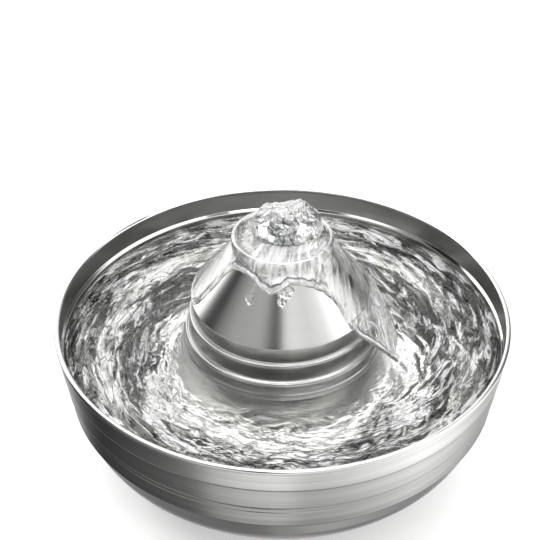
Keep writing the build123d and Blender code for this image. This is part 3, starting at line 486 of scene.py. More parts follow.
give(grained("sintered ferrite magnet", "#3B3A3C", "#242325", 0.4, 0.03, 0.55), "rotor_magnet")
give(grained("fired alumina ceramic", "#EFE9DC", "#E2DAC8", 0.3, 0.004, 0.22, 0.0, 1.76),
     "rotor_shaft")
give(grained("black potting epoxy", "#151618", "#232427", 1.2, 0.05, 0.18, 0.0, 1.55),
     "potting_cap")
print("metals and ceramics: 7 finishes on 8 nodes")

# %% [markdown]
# ## Circuit board and wires
#
# The driver board is glass-fibre laminate under green solder mask. The mask lies a little
# higher over the copper tracks, so a brick pattern in both colour and height hints at them.
# Both inlet wires are one node, and the side of the axis tells which one it is: red or black.

# %% Board
board, tree, shader = new_material("green solder mask on glass fibre", Base_Color=linear("#1E6A43"),
                                   Roughness=0.3, IOR=1.55)
place = add(tree, "TexCoord")
tracks = add(tree, "TexBrick", [("Vector", place.outputs["Object"])],
             {"Color1": linear("#2A8556"), "Color2": linear("#237549"), "Mortar": linear("#15523A"),
              "Scale": 1 / (2.4 * MM), "Mortar Size": 0.16, "Mortar Smooth": 0.3,
              "Brick Width": 1.9, "Row Height": 0.42}, offset=0.37)
weave = add(tree, "TexMagic", [("Vector", place.outputs["Object"])], {"Scale": 1 / (0.8 * MM)},
            turbulence_depth=1)
fibre = add(tree, "MapRange", [("Value", weave.outputs["Fac"])], {"To Min": 0.88, "To Max": 1.05})
mask = add(tree, "VectorMath", [(0, tracks.outputs["Color"]), ("Scale", fibre.outputs[0])],
           operation="SCALE")
tree.links.new(mask.outputs[0], shader.inputs["Base Color"])
raised = add(tree, "Bump", [("Height", tracks.outputs["Fac"])],
             {"Strength": 0.8, "Distance": 0.05 * MM}, invert=True)
tree.links.new(raised.outputs[0], shader.inputs["Normal"])
give(board, "driver_board")

# %% Wires
wires, tree, shader = new_material("thin PVC wire, red and black", Base_Color=linear("#A51F1B"),
                                   Roughness=0.4, IOR=1.52)
place = add(tree, "TexCoord")
axes = add(tree, "SeparateXYZ", [("Vector", place.outputs["Object"])])
side = add(tree, "Math", [(0, axes.outputs["X"])], {1: 0.0}, operation="GREATER_THAN")
dust = add(tree, "TexNoise", [("Vector", place.outputs["Object"])],
           {"Scale": 1 / (2 * MM), "Detail": 3.0})
light_red = add(tree, "Mix", [("Factor", dust.outputs["Fac"])],
                {6: linear("#A51F1B"), 7: linear("#BB332C")}, data_type="RGBA")
dark = add(tree, "Mix", [("Factor", dust.outputs["Fac"])],
           {6: linear("#161617"), 7: linear("#2A2A2B")}, data_type="RGBA")
pick_wire = add(tree, "Mix", [("Factor", side.outputs[0]), (6, dark.outputs[2]),
                              (7, light_red.outputs[2])],
                data_type="RGBA")
tree.links.new(pick_wire.outputs[2], shader.inputs["Base Color"])
skin = add(tree, "Bump", [("Height", dust.outputs["Fac"])],
           {"Strength": 0.3, "Distance": 0.03 * MM})
tree.links.new(skin.outputs[0], shader.inputs["Normal"])
give(wires, "jack_wires")
print("board and wire nodes:", len(board.node_tree.nodes), len(tree.nodes))

# %% [markdown]
# ## Filter media
#
# The intake's sponge is open-cell polyurethane with pores of about 1.2 mm. The wool is needled
# polyester: pale fibres in all directions. The carbon is a bed of coconut-shell granules of
# about 1.5 mm, each with its own tilt and sheen. All three are cells or fibres drawn by the
# shader, because thousands of real pores would be far too many faces for a hidden piece.

# %% Foam, wool and carbon
foam, tree, shader = new_material("open-cell polyurethane foam", Base_Color=linear("#2C2E31"),
                                  Roughness=0.85, IOR=1.45, Sheen_Weight=0.3)
place = add(tree, "TexCoord")
cells = add(tree, "TexVoronoi", [("Vector", place.outputs["Object"])], {"Scale": 1 / (1.2 * MM)},
            feature="DISTANCE_TO_EDGE")
web = add(tree, "MapRange", [("Value", cells.outputs["Distance"])],
          {"From Min": 0.02, "From Max": 0.22})
# The pores' hollows are painted dark: painted shade in the pits.
painted_pore_shade = add(tree, "Mix", [("Factor", web.outputs[0])], {6: linear("#4B4E52"), 7: linear("#0E0F10")},
            data_type="RGBA")
tree.links.new(painted_pore_shade.outputs[2], shader.inputs["Base Color"])
pits = add(tree, "Bump", [("Height", web.outputs[0])], {"Strength": 1.0, "Distance": 0.5 * MM},
           invert=True)
tree.links.new(pits.outputs[0], shader.inputs["Normal"])
give(foam, "intake_foam")

wool, tree, shader = new_material("needled polyester wool", Base_Color=linear("#E9ECEA"),
                                  Roughness=0.9, IOR=1.5, Sheen_Weight=0.5)
place = add(tree, "TexCoord")
fibres = add(tree, "TexNoise", [("Vector", place.outputs["Object"])],
             {"Scale": 1 / (1.6 * MM), "Detail": 6.0, "Roughness": 0.75, "Distortion": 2.5})
pale = add(tree, "Mix", [("Factor", fibres.outputs["Fac"])],
           {6: linear("#C9D0CF"), 7: linear("#FBFCFA")}, data_type="RGBA")
tree.links.new(pale.outputs[2], shader.inputs["Base Color"])
fluff = add(tree, "Bump", [("Height", fibres.outputs["Fac"])],
            {"Strength": 0.9, "Distance": 0.5 * MM})
tree.links.new(fluff.outputs[0], shader.inputs["Normal"])
give(wool, "filter_wool")

carbon, tree, shader = new_material("coconut-shell carbon granules", Base_Color=linear("#1A1A1B"),
                                    Roughness=0.5, IOR=1.6)
place = add(tree, "TexCoord")
granules = add(tree, "TexVoronoi", [("Vector", place.outputs["Object"])], {"Scale": 1 / (1.5 * MM)})
tones = add(tree, "SeparateXYZ", [("Vector", granules.outputs["Color"])])
each = add(tree, "Mix", [("Factor", tones.outputs["X"])],
           {6: linear("#0F0F10"), 7: linear("#37373A")}, data_type="RGBA")
tree.links.new(each.outputs[2], shader.inputs["Base Color"])
shine = add(tree, "MapRange", [("Value", tones.outputs["Y"])], {"To Min": 0.3, "To Max": 0.75})
tree.links.new(shine.outputs[0], shader.inputs["Roughness"])
heap = add(tree, "Bump", [("Height", granules.outputs["Distance"])],
           {"Strength": 1.0, "Distance": 0.8 * MM}, invert=True)
tree.links.new(heap.outputs[0], shader.inputs["Normal"])
give(carbon, "filter_carbon")
finish = {name: node.data.materials[0] for name, node in nodes.items() if node.data.materials}
textured = {name for name in finish
            if finish[name].use_nodes and len(finish[name].node_tree.nodes) > 3}
print("nodes still plain:", sorted(set(nodes) - textured))

# %% [markdown]
# ## Water
#
# Clear water is a shader with full transmission and an index of refraction of 1.333. Its look
# comes from the shape of its surface, so the ripples are real geometry, and only those finer
# than the mesh are a bump. The bump's noise is read in a space where two axes go round a
# circle and the third is the radius, which closes the pattern after a full turn and draws it
# out along the flow. A turn that grows with the radius winds it into a spiral.

# %% Flowing water
def flowing_water(name, spacing, around, ripple, winding=None):
    """Clear water with streaks round Z: spacing between them, features round a turn, strength of
    the bump, and winding = the radius over which they turn by a radian. Returns the material and
    the nodes that a further finish builds on."""
    material, tree, shader = new_material(name, Base_Color=linear("#FFFFFF"), Roughness=0.0,
                                          IOR=1.333)
    place = add(tree, "TexCoord")
    flat = add(tree, "VectorMath", [(0, place.outputs["Object"])], {1: (1.0, 1.0, 0.0)},
               operation="MULTIPLY")
    radius = add(tree, "VectorMath", [(0, flat.outputs[0])], operation="LENGTH")
    ring = add(tree, "VectorMath", [(0, flat.outputs[0])], operation="NORMALIZE")
    along = ring
    if winding:
        spiral = add(tree, "Math", [(0, radius.outputs["Value"])], {1: -1 / winding},
                     operation="MULTIPLY")
        along = add(tree, "VectorRotate", [("Vector", ring.outputs[0]),
                                           ("Angle", spiral.outputs[0])],
                    rotation_type="Z_AXIS")
    turn = add(tree, "VectorMath", [(0, along.outputs[0])], {"Scale": around / math.tau},
               operation="SCALE")
    out = add(tree, "Math", [(0, radius.outputs["Value"])], {1: 1 / spacing}, operation="MULTIPLY")
    split = add(tree, "SeparateXYZ", [("Vector", turn.outputs[0])])
    flow = add(tree, "CombineXYZ", [("X", split.outputs["X"]), ("Y", split.outputs["Y"]),
                                    ("Z", out.outputs[0])])
    small = add(tree, "TexNoise", [("Vector", flow.outputs[0])],
                {"Scale": 1.0, "Detail": 2.0, "Roughness": 0.5, "Distortion": 0.5})
    bump = add(tree, "Bump", [("Height", small.outputs["Fac"])],
               {"Strength": ripple, "Distance": 1.0 * MM})
    tree.links.new(bump.outputs[0], shader.inputs["Normal"])
    return material, tree, shader, place, flat, radius, ring, flow


# %% [markdown]
# Close round the dome the pool is calm and clear. Further out air whitens it in patches, and
# thin dark loops are painted shade where folds too sharp for the mesh would darken the water.
# A noise that is near its middle value only along thin loops draws them. They are widest at
# the front and the left of the bowl.

# %% The pool's water
air = 0.7                     # share of the clearness that the air takes
airy_from, airy_to = 70 * MM, 92 * MM
calm_middle = 11 * MM         # the calm ring lies this much nearer to the front
pool_water, tree, shader, place, flat, radius, ring, flow = flowing_water(
    "clear water, swirling", 2.2 * MM, 84, 0.3, winding=50 * MM)
cloud = add(tree, "TexNoise", [("Vector", flow.outputs[0])],
            {"Scale": 0.3, "Detail": 4.0, "Roughness": 0.62, "Distortion": 1.0})
shifted = add(tree, "VectorMath", [(0, flat.outputs[0])], {1: (0.0, calm_middle, 0.0)},
              operation="ADD")
away = add(tree, "VectorMath", [(0, shifted.outputs[0])], operation="LENGTH")
settle = add(tree, "MapRange", [("Value", away.outputs["Value"])],
             {"From Min": airy_from, "From Max": airy_to, "To Min": 1.0, "To Max": 1.0 - air})
clear = add(tree, "MapRange", [("Value", cloud.outputs["Fac"]), ("To Max", settle.outputs[0])],
            {"From Min": 0.49, "From Max": 0.6, "To Min": 1.0})
tree.links.new(clear.outputs[0], shader.inputs["Transmission Weight"])
side = add(tree, "SeparateXYZ", [("Vector", ring.outputs[0])])
at_front = add(tree, "MapRange", [("Value", side.outputs["Y"])],
               {"From Min": -0.8, "From Max": -0.97, "To Min": 1.0, "To Max": 3.5})
at_left = add(tree, "MapRange", [("Value", side.outputs["X"])],
              {"From Min": -0.75, "From Max": -0.97, "To Max": 1.2})
widen = add(tree, "Math", [(0, at_front.outputs[0]), (1, at_left.outputs[0])], operation="ADD")
folds = []
for scale, width in ((0.28, 0.018), (0.7, 0.016)):
    loops = add(tree, "TexNoise", [("Vector", flow.outputs[0])],
                {"Scale": scale, "Detail": 2.0, "Roughness": 0.5, "Distortion": 1.2})
    off = add(tree, "Math", [(0, loops.outputs["Fac"])], {1: 0.5}, operation="SUBTRACT")
    near = add(tree, "Math", [(0, off.outputs[0])], operation="ABSOLUTE")
    wide = add(tree, "Math", [(0, widen.outputs[0])], {1: width}, operation="MULTIPLY")
    folds.append(add(tree, "MapRange", [("Value", near.outputs[0]), ("From Max", wide.outputs[0])],
                     {"From Min": 0.2 * width, "To Min": 0.12}))
darkest = add(tree, "Math", [(0, folds[0].outputs[0]), (1, folds[1].outputs[0])],
              operation="MINIMUM")
lively = add(tree, "MapRange", [("Value", radius.outputs["Value"])],
             {"From Min": airy_from - 4 * MM, "From Max": airy_from + 12 * MM})
# The loops darken the water's colour: painted shade.
fold_painted_shade = add(tree, "Mix", [("Factor", lively.outputs[0]), (3, darkest.outputs[0])], {2: 1.0})
tree.links.new(fold_painted_shade.outputs[0], shader.inputs["Base Color"])
print("pool water nodes:", len(tree.nodes))

# %% [markdown]
# On the dome a shader can't know where the thin film folds or foams, so the mesh tells it.
# Each point carries two numbers from 0 to 1: one darkens the water in folds and valleys as
# painted shade, and froth whitens water that is full of air. A painted texture could do the
# same, but it would have to be unwrapped.

# %% Film and curtain water
def thin_water(name, spacing, around, ripple, air, air_size):
    """Flowing water that reads its painted shade and froth from its mesh; air whitens patches
    of air_size.
    """
    material, tree, shader, place = flowing_water(name, spacing, around, ripple)[:4]
    cloud = add(tree, "TexNoise", [("Vector", place.outputs["Object"])],
                {"Scale": 1 / air_size, "Detail": 4.0, "Roughness": 0.62, "Distortion": 1.0})
    clear = add(tree, "MapRange", [("Value", cloud.outputs["Fac"])],
                {"From Min": 0.45, "From Max": 0.7, "To Min": 1.0, "To Max": 1.0 - air})
    fold = add(tree, "Attribute", attribute_name="painted_shade")
    # The attribute darkens the water's colour: painted shade.
    dark = add(tree, "Mix", [("Factor", fold.outputs["Fac"])], {2: 1.0, 3: 0.05})
    tree.links.new(dark.outputs[0], shader.inputs["Base Color"])
    white = add(tree, "Attribute", attribute_name="froth")
    less = add(tree, "Math", [(1, white.outputs["Fac"])], {0: 1.0}, operation="SUBTRACT")
    both = add(tree, "Math", [(0, clear.outputs[0]), (1, less.outputs[0])], operation="MULTIPLY")
    tree.links.new(both.outputs[0], shader.inputs["Transmission Weight"])
    return material


film_water = thin_water("clear water, thin film", 12 * MM, 150, 0.03, 0.15, 7 * MM)
curtain_water = thin_water("aerated water, falling", 30 * MM, 300, 0.1, 0.5, 10 * MM)
print("thin waters:", film_water.name, "and", curtain_water.name)

# %% [markdown]
# ## The pool
#
# The pool is one closed body: a profile that follows the wetted wall, spun round the axis,
# with its top pushed up and down afterwards. The wall is measured, not guessed: rays are cast
# inside the bowl from the middle of the water's surface, and each one stops on the steel. The
# profile's edge lies a little inside the steel sheet, because a film of air between water and
# steel would mirror the light and look like glass in a steel cup.

# %% Measure the wetted wall
water_level = 89.5 * MM
into_steel = 0.4 * MM
wall = []
for down in range(0, 91, 3):
    slant = math.radians(down)
    direction = Vector((math.cos(slant), 0.0, -math.sin(slant)))
    found, spot, *_ = nodes["bowl_shell"].ray_cast(Vector((0, 0, water_level)), direction)
    if found:
        spot = spot + direction * into_steel
        wall.append((max(0.0, spot.x), spot.z))
wall[-1] = (0.0, wall[-1][1])
print("wall points:", len(wall), "radius at the water line:", round(wall[0][0] / MM, 1), "mm")

# %% [markdown]
# The ripples run round the dome as a slow swirl, in the same round space as the bump. Folding
# the noise at zero gives the sharp crests and flat troughs of running water. The swirl takes
# four sizes of wave, because one size alone looks like corrugated sheet.

# %% Swirling ripples
def soft(x, low, high):
    """0 below low, 1 above high, and a smooth step between."""
    share = min(1.0, max(0.0, (x - low) / (high - low)))
    return share * share * (3 - 2 * share)


def bell(distance, width):
    """1 at no distance, and next to nothing at twice the width."""
    return math.exp(-(distance / width) ** 2)


def bumps(x, y, z):
    """Smooth noise between about -1 and 1; another z, or seed, gives another pattern."""
    return noise.noise(Vector((x, y, z)))


def swirl(x, y, spacing, around, twist, seed):
    """Noise stretched along a spiral: spacing across it in metres, features round a turn."""
    radius = math.hypot(x, y)
    angle = math.atan2(y, x)
    angle += twist * math.cos(angle + 0.6) * math.log(radius / 0.06)
    reach = around / math.tau
    return bumps(radius / spacing + seed, reach * math.cos(angle), reach * math.sin(angle))


def ripple_height(x, y):
    """Height of the pool's surface above its level, in metres."""
    radius = math.hypot(x, y)
    if radius < 0.05:
        return 0.0
    front = 0.5 + 0.5 * math.cos(math.atan2(x, -y))
    bend = 0.0045 * bumps(x / 0.016, y / 0.016, 3.7)
    sway = 0.0045 * bumps(x / 0.016, y / 0.016, 9.1)
    x, y = x + bend, y + sway
    long_wave = swirl(x, y, 0.02, 12, 0.8, 1.3)
    middle = 0.5 - abs(swirl(x, y, 0.0095, 26, 0.8, 5.1)) * 1.6
    small = 0.4 - abs(swirl(x, y, 0.0046, 48, 0.7, 8.4)) * 1.5
    fine = 0.4 - abs(swirl(x, y, 0.0026, 80, 0.5, 2.4)) * 1.5
    calm = soft(radius, 0.06, 0.072 + 0.011 * front)
    calm *= min(1.0, max(0.25, (0.127 - radius) / 0.005))
    return calm * (0.0014 * long_wave + 0.0017 * middle + 0.00095 * small + 0.0004 * fine)


print("ripple at the left of the dome:", round(ripple_height(-0.09, 0.0) / MM, 2), "mm")

# %% The pool
def piece(name, shape, material, body):
    """Makes an object of a bmesh, with its place in its mesh, and lets it ride on a body."""
    mesh = bpy.data.meshes.new(name)
    shape.to_mesh(mesh)
    shape.free()
    mesh.materials.append(material)
    for face in mesh.polygons:
        face.use_smooth = True
    made = bpy.data.objects.new(name, mesh)
    bpy.context.scene.collection.objects.link(made)
    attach(made, body)
    print(name, "faces:", len(mesh.polygons))
    return made


def spun(profile, turns, numbered=False):
    """A bmesh of a profile, (radius, height) pairs, spun round Z and closed at its poles.
    Where it is numbered, each point keeps the row of the profile that it came from."""
    shape = bmesh.new()
    row = shape.verts.layers.int.new("row") if numbered else None
    line = []
    for i, (radius, height) in enumerate(profile):
        vert = shape.verts.new((radius, 0.0, height))
        if numbered:
            vert[row] = i
        line.append(vert)
    for a, b in zip(line, line[1:]):
        shape.edges.new((a, b))
    bmesh.ops.spin(shape, geom=shape.verts[:] + shape.edges[:], cent=(0, 0, 0), axis=(0, 0, 1),
                   angle=math.tau, steps=turns, use_merge=True, use_duplicate=False)
    bmesh.ops.remove_doubles(shape, verts=shape.verts[:], dist=1e-7)
    bmesh.ops.recalc_face_normals(shape, faces=shape.faces[:])
    return shape


hidden_rows = [0.0, 0.025, 0.05]             # under the dome
visible_rows = [0.0585 + 0.0009 * i for i in range(78)]
last_row = wall[0][0] - 0.0006
surface_rows = [r for r in hidden_rows + visible_rows if r < last_row]
pool_shape = spun([(r, water_level) for r in surface_rows] + wall, 800)
for vert in pool_shape.verts:
    if abs(vert.co.z - water_level) < 1e-6:
        vert.co.z += ripple_height(vert.co.x, vert.co.y)
piece("water_pool", pool_shape, pool_water, "base")

# %% [markdown]
# ## Water over the dome
#
# The pump pushes water up through the nozzle. It stands there as a lumpy clear bubble, fills
# the pressed dish, runs over the rolled lip and down the cone as a thin film. One closed body
# makes all of it, so no seam shows where the bubble meets the film. A fluid simulation could
# find such a shape, but it would take minutes at each run and would never give the same edge
# twice, so the film's thickness is written as a function of where it is: a direction round the
# dome and a distance down the cone.
#
# Directions are in degrees from the front, positive to the right, and lengths in mm.

# %% Where the film ends
film_edge = [(-180, 46), (-80, 46), (-73, 40), (-70, 31), (-68.5, 22), (-66, 14), (-62, 8),
             (-55, 5.5), (-40, 4.5), (-30, 6), (-21, 9.5), (-11, 11.5), (-1.5, 9.5), (8, 6.5),
             (18, 7), (28, 9.5), (37, 14), (43.5, 20), (46, 27), (46.8, 35), (47.5, 46), (180, 46)]
# Drops that hang from the edge: direction, distance down, half width, half length, height, lumps
film_drops = [(-27.0, 10.5, 1.0, 4.0, 1.0, 0.1), (-28.5, 14.0, 0.9, 3.0, 1.0, 0.1),
              (-27.5, 17.4, 1.8, 2.3, 1.5, 0.1), (-31.0, 16.0, 1.0, 1.7, 0.9, 0.1),
              (2.5, 11.0, 3.8, 3.2, 1.8, 1.3), (0.0, 15.5, 2.4, 3.0, 1.5, 1.1),
              (7.0, 9.5, 2.6, 2.6, 1.6, 1.1)]


def read_table(table, x):
    """Reads a table of (x, value) pairs with soft steps between them."""
    for (x0, v0), (x1, v1) in zip(table, table[1:]):
        if x <= x1:
            share = min(1.0, max(0.0, (x - x0) / (x1 - x0)))
            return v0 + (v1 - v0) * (0.5 * share + 0.5 * soft(share, 0.0, 1.0))
    return table[-1][1]


print("film edge points:", len(film_edge), "drops:", len(film_drops))

# %% [markdown]
# The film is thickest in a rounded bead along its edge, as surface tension draws it there, and
# next to the dish. Where the dome is dry the film sinks a quarter of a millimetre under the
# steel, so that one mesh covers all directions and its true edge is where it comes out.

# %% Film on the cone
dry_depth = 0.25              # how far the film sinks under the steel where the dome is dry
bead_middle = 2.0             # from the film's edge to the middle of its bead
dish_to_film = 7              # along the water, from the dish's edge to where the cone begins


def in_front(azimuth):
    """1 where the flow leaves the dish towards the front, 0 at its sides and back."""
    return soft(azimuth, -75, -35) * (1 - soft(azimuth, 42, 82))


def airy_flow(azimuth, along):
    """Froth in streaks that run over the dish's lip and down, along from the dish's edge."""
    streaks = bumps(azimuth / 4, along / 9, 2.5) + 0.5 * bumps(azimuth / 1.8, along / 6, 6)
    return 0.04 + in_front(azimuth) * (0.18 + 0.4 * soft(streaks, -0.15, 0.45))


def inside_edge(azimuth, reach, radius):
    """How far a place on the cone lies inside the film's wandering edge, square to it."""
    beside = 0.7
    slope = read_table(film_edge, azimuth + beside) - read_table(film_edge, azimuth - beside)
    slant = slope / (math.radians(2 * beside) * radius)
    wander = bumps(math.radians(azimuth) * radius / 8, reach / 8, 2.2)
    return (read_table(film_edge, azimuth) - reach + wander) / math.sqrt(1 + slant * slant)


def film_thickness(azimuth, reach, radius):
    """The film at a direction, a distance down the cone and a radius: thickness, painted shade,
    froth.
    """
    bow = math.radians(azimuth) * radius
    inside = inside_edge(azimuth, reach, radius)
    front = in_front(azimuth)
    right_hand = soft(azimuth, 5, 45) * (1 - soft(azimuth, 120, 150))
    streaks = bumps(bow / 2.2 + 0.12 * reach, reach / 16, 7.0)
    streaks += 0.5 * bumps(bow / 1.1, reach / 9, 3.0)
    hatch = abs(bumps(bow / 2.8 + 0.1 * reach, reach / 13, 4.4))
    patch = soft(bumps(bow / 12, reach / 12, 8.8), -0.15, 0.1)
    # Painted shade: dark hatching on the right, a dark line inside the bead and one at the edge.
    painted_shade = max(0.9 * right_hand * patch * max(0.0, 1 - hatch / 0.12),
                 0.9 * bell(inside - 3.7, 0.5), 0.5 * bell(inside - 0.4, 0.4))
    froth = airy_flow(azimuth, dish_to_film + reach) * bell(reach, 9.0)
    froth += 0.16 * right_hand * soft(streaks, 0.0, 0.5) + 0.3 * bell(inside - bead_middle, 1.0)
    film = 0.6 + (0.07 + 0.25 * right_hand) * streaks + (0.9 + 2.3 * front) * bell(reach, 5 + front)
    film += 1.5 * bell(inside - bead_middle, 1.3)
    rounded = math.sin(0.5 * math.pi * min(1.0, max(0.0, inside / 1.4)))
    film = -dry_depth + (film + dry_depth) * rounded
    for az, down, across, along, height, lumps in film_drops:
        hill = 1 - ((bow - math.radians(az) * radius) / across) ** 2 - ((reach - down) / along) ** 2
        if hill > 0:
            rough = lumps * bumps(bow / 1.1, reach / 1.1, 5.0)
            film = max(film, -dry_depth + (height + rough + dry_depth) * math.sqrt(hill))
    return film, painted_shade, froth


# %% [markdown]
# The bubble is a mound whose sides are steeper than a dome's. Smooth noise gives it big lobes,
# and noise folded at zero gives the sharp valleys between them, where most painted shade lies.

# %% Bubble, dish and lip
bubble_middle, bubble_across, bubble_deep = (3.0, 5.5), 19.8, 14.0
bubble_base, bubble_rise, bubble_reach = 159.2, 16.4, 19
dish_edge = 25.0
heart = Vector((*bubble_middle, bubble_base + 4)) * MM      # the lumps grow away from here


def bubble_edge(sine, cosine, z):
    """A point of the bubble's outline in one direction, at a height."""
    x, y = bubble_middle
    return Vector((x + bubble_across * sine, y + bubble_deep * cosine, z)) * MM


def shifted_noise(out, scale, shift):
    """Noise over the directions out of the bubble's heart."""
    return noise.noise(out * scale + Vector(shift))


def over_bubble(sine, cosine, z, s):
    """A point of the bubble, s from 0 at its top to 1 at its foot: its place, painted shade and
    froth.
    """
    spot = Vector((*bubble_middle, z)) * MM
    spot = spot.lerp(bubble_edge(sine, cosine, z), s)
    out = (spot - heart).normalized()
    valley = abs(shifted_noise(out, 3.2, (1, 5, 2)))
    lump = 2.4 * shifted_noise(out, 1.9, (4, 1, 7)) + 1.9 * (0.28 - valley)
    lump += 0.5 * (0.25 - abs(noise.noise(out * 6.0)))
    spot += out * lump * MM * min(1.0, 0.35 + 2.0 * (1 - s))
    spot.z = max(spot.z, bubble_base * MM)
    fold = min(valley, abs(shifted_noise(out, 5.5, (7, 2, 4))))
    patch = soft(shifted_noise(out, 2.2, (3, 3, 9)) + 0.4 * (s - 0.5), -0.2, 0.05)
    froth = 0.05 + 0.25 * soft(shifted_noise(out, 2.6, (2, 6, 1)), -0.05, 0.12)
    return spot, patch * (1 - soft(fold, 0.02, 0.08)), froth


def run_off(azimuth, s):
    """Unevenness of the water that leaves the dish."""
    return bumps(azimuth / 7, s * 2.0, 1.5) + 0.6 * bumps(azimuth / 3, s * 4.0, 5)


def over_dish(sine, cosine, z, s, azimuth):
    """A point of the dish's water, s from 0 at the bubble to 1 at the edge."""
    rim_spot = Vector((dish_edge * sine, dish_edge * cosine, bubble_base + 0.6)) * MM
    spot = bubble_edge(sine, cosine, z).lerp(rim_spot, s)
    swell = 0.9 * bell(s - 0.4, 0.2) * (0.5 - 0.5 * cosine)
    spot.z += (0.55 * run_off(azimuth, s) + swell) * MM
    # A dark ring of painted shade where the bubble meets the dish's water.
    painted_shade = (0.5 + 0.45 * in_front(azimuth)) * bell(s - 0.06, 0.07)
    return spot, painted_shade, airy_flow(azimuth, dish_to_film * (s - 1))


def over_lip(sine, cosine, r, z, s, azimuth):
    """A point over the lip; in front the flow leaves the lip in a wider bend."""
    bend_r = 25.5 * (1 - s) ** 2 + 2 * 29.6 * s * (1 - s) + 30.4 * s * s
    bend_z = 160.1 * (1 - s) ** 2 + 2 * 160.6 * s * (1 - s) + 155.6 * s * s
    front, run = in_front(azimuth), run_off(azimuth, s)
    r = r + front * (bend_r - r) + 0.2 * run
    z = z + front * (bend_z - z) + 0.2 * run * (1 - s)
    return Vector((sine * r, cosine * r, z)) * MM, 0.0, airy_flow(azimuth, dish_to_film * s)


print("bubble's highest smooth point:", bubble_base + bubble_rise, "mm")

# %% [markdown]
# The profile has a row for each ring of points: over the bubble, the dish's water, the lip and
# the film, and then back under the steel to the axis, which closes the body. Each point keeps
# its row's number through the spin, so a loop can move it as its zone asks.

# %% Bubble, dish and film as one body
cone_start, cone_along, cone_out = (27.0, 152.9), (0.6244, -0.7811), (0.7811, 0.6244)
lip = [(25.5, 160.1), (26.0, 160.5), (26.6, 160.75), (27.3, 160.7), (27.9, 160.4), (28.4, 159.9),
       (28.65, 159.2), (28.7, 158.4), (28.6, 157.5), (28.5, 156.6), (28.5, 155.8)]
way_back = [(52.0, 121.0), (44.9, 129.9), (36.9, 139.9), (28.9, 149.9), (26.9, 152.6),
            (26.4, 154.0), (26.4, 157.4), (27.9, 158.6), (27.6, 159.6), (26.9, 159.9),
            (25.6, 159.1), (24.7, 158.2), (24.4, 154.6), (22.9, 152.8), (21.0, 152.55),
            (0.0, 152.55)]
rows = []                     # (zone, radius, height, share or distance along the zone)
for i in range(45):
    turn = math.radians(90 * i / 44)
    rise, share = bubble_rise * math.cos(turn) ** 0.85, math.sin(turn) ** 0.85
    rows.append(("bubble", bubble_reach * i / 44, bubble_base + rise, share))
rows += [("dish", bubble_reach + 0.35 * i, bubble_base, i / 17) for i in range(1, 18)]
rows += [("lip", r, z, i / (len(lip) - 1)) for i, (r, z) in enumerate(lip)]
rows += [("film", cone_start[0] + cone_along[0] * s, cone_start[1] + cone_along[1] * s, s)
         for s in [0.4 + 0.53 * i for i in range(75)]]
rows += [("back", r, z, 0) for r, z in way_back]

shape = spun([(r * MM, z * MM) for zone, r, z, s in rows], 432, numbered=True)
row_number = shape.verts.layers.int["row"]
painted_shade_layer = shape.verts.layers.float.new("painted_shade")
froth_layer = shape.verts.layers.float.new("froth")
for vert in shape.verts:
    zone, r, z, s = rows[vert[row_number]]
    x, y = vert.co.x, vert.co.y
    azimuth = math.degrees(math.atan2(x, -y))
    length = max(1e-9, math.hypot(x, y))
    sine, cosine = x / length, y / length
    if zone == "bubble":
        vert.co, vert[painted_shade_layer], vert[froth_layer] = over_bubble(sine, cosine, z, s)
    elif zone == "dish":
        vert.co, vert[painted_shade_layer], vert[froth_layer] = over_dish(sine, cosine, z, s, azimuth)
    elif zone == "lip":
        vert.co, vert[painted_shade_layer], vert[froth_layer] = over_lip(sine, cosine, r, z, s, azimuth)
    elif zone == "film":
        thick, vert[painted_shade_layer], vert[froth_layer] = film_thickness(azimuth, s, r)
        vert.co += Vector((sine * cone_out[0], cosine * cone_out[0], cone_out[1])) * thick * MM
piece("water_overflow", shape, film_water, "dome")

# %% [markdown]
# ## Falling curtain
#
# On one side the film leaves the cone's edge and falls free as a curtain. It is a grid, bent
# along the path of a falling drop and ribbed by noise, then given its thickness by Solidify,
# which closes its rim at the same time. Its free edge is thick, because surface tension
# gathers water there, and a vertex group says how thick.

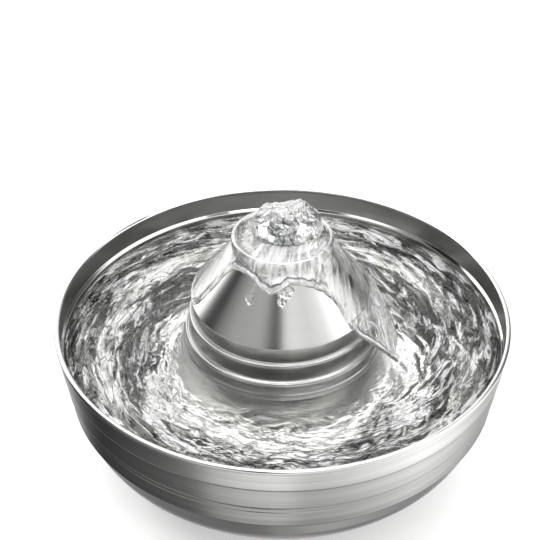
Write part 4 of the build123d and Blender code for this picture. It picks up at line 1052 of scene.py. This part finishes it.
# %% Curtain
curtain_top = (50.2, 124.3)   # radius and height of the cone's edge, where the water leaves it
curtain_drop = 4.5            # how far it bends down before it falls free
curtain_foot = 89.0           # just under the pool's surface
curtain_thick = 2.2
shape = bmesh.new()
bmesh.ops.create_grid(shape, x_segments=300, y_segments=74, size=0.5)
places = [(vert.co.x + 0.5, 0.5 - vert.co.y) for vert in shape.verts]
painted_shade_layer = shape.verts.layers.float.new("painted_shade")
froth_layer = shape.verts.layers.float.new("froth")
for vert, (across, down) in zip(shape.verts, places):
    first, last = 47.2 + 22 * down ** 1.3, 154 - 16 * down
    azimuth = first + (last - first) * across
    fall = down ** 1.15
    r = curtain_top[0] + 3.0 * soft(down, 0, 0.2)
    r += (13.0 + 3.0 * bumps(azimuth / 20, 0, 4)) * fall ** 0.8
    r += 5.5 * math.exp(-across / 0.12) * soft(down, 0.0, 0.35)
    z = curtain_top[1] - curtain_drop * soft(down, 0, 0.16)
    z -= (curtain_top[1] - curtain_drop - curtain_foot) * fall ** 1.25
    turn = math.radians(azimuth)
    bow = turn * r
    rib = 0.5 * bumps(bow / 3.5, down * 1.2, 1) + 0.25 * bumps(bow / 1.4, down * 2, 5)
    r += rib * (0.3 + 0.9 * down)
    vert.co = Vector((math.sin(turn) * r, -math.cos(turn) * r, z)) * MM
    vert.co.z = max(vert.co.z, curtain_foot * MM)
    width = math.radians(last - first) * r * across
    tear = soft(down, 0.02, 0.15)
    # Painted shade: dark lines along the inside of the bead and along the free edge.
    vert[painted_shade_layer] = tear * (0.8 * bell(width - 3.4, 0.45) + 0.6 * bell(width, 0.4))
    vert[froth_layer] = tear * 0.45 * bell(width - 1.6, 1.0)
    vert[froth_layer] += 0.2 * soft(bumps(bow / 1.3, down * 2.5, 8), 0.05, 0.35)
bmesh.ops.recalc_face_normals(shape, faces=shape.faces[:])
curtain = piece("water_curtain", shape, curtain_water, "dome")
bead = curtain.vertex_groups.new(name="bead")
for vert, (across, down) in zip(curtain.data.vertices, places):
    bead.add([vert.index], 0.2 + 0.8 * bell(across - 0.01, 0.02) * soft(down, 0.02, 0.3), "REPLACE")
wall_of_water = curtain.modifiers.new("thickness", "SOLIDIFY")
wall_of_water.thickness = curtain_thick * MM
wall_of_water.offset = 0.0
wall_of_water.use_even_offset = False
wall_of_water.vertex_group = bead.name
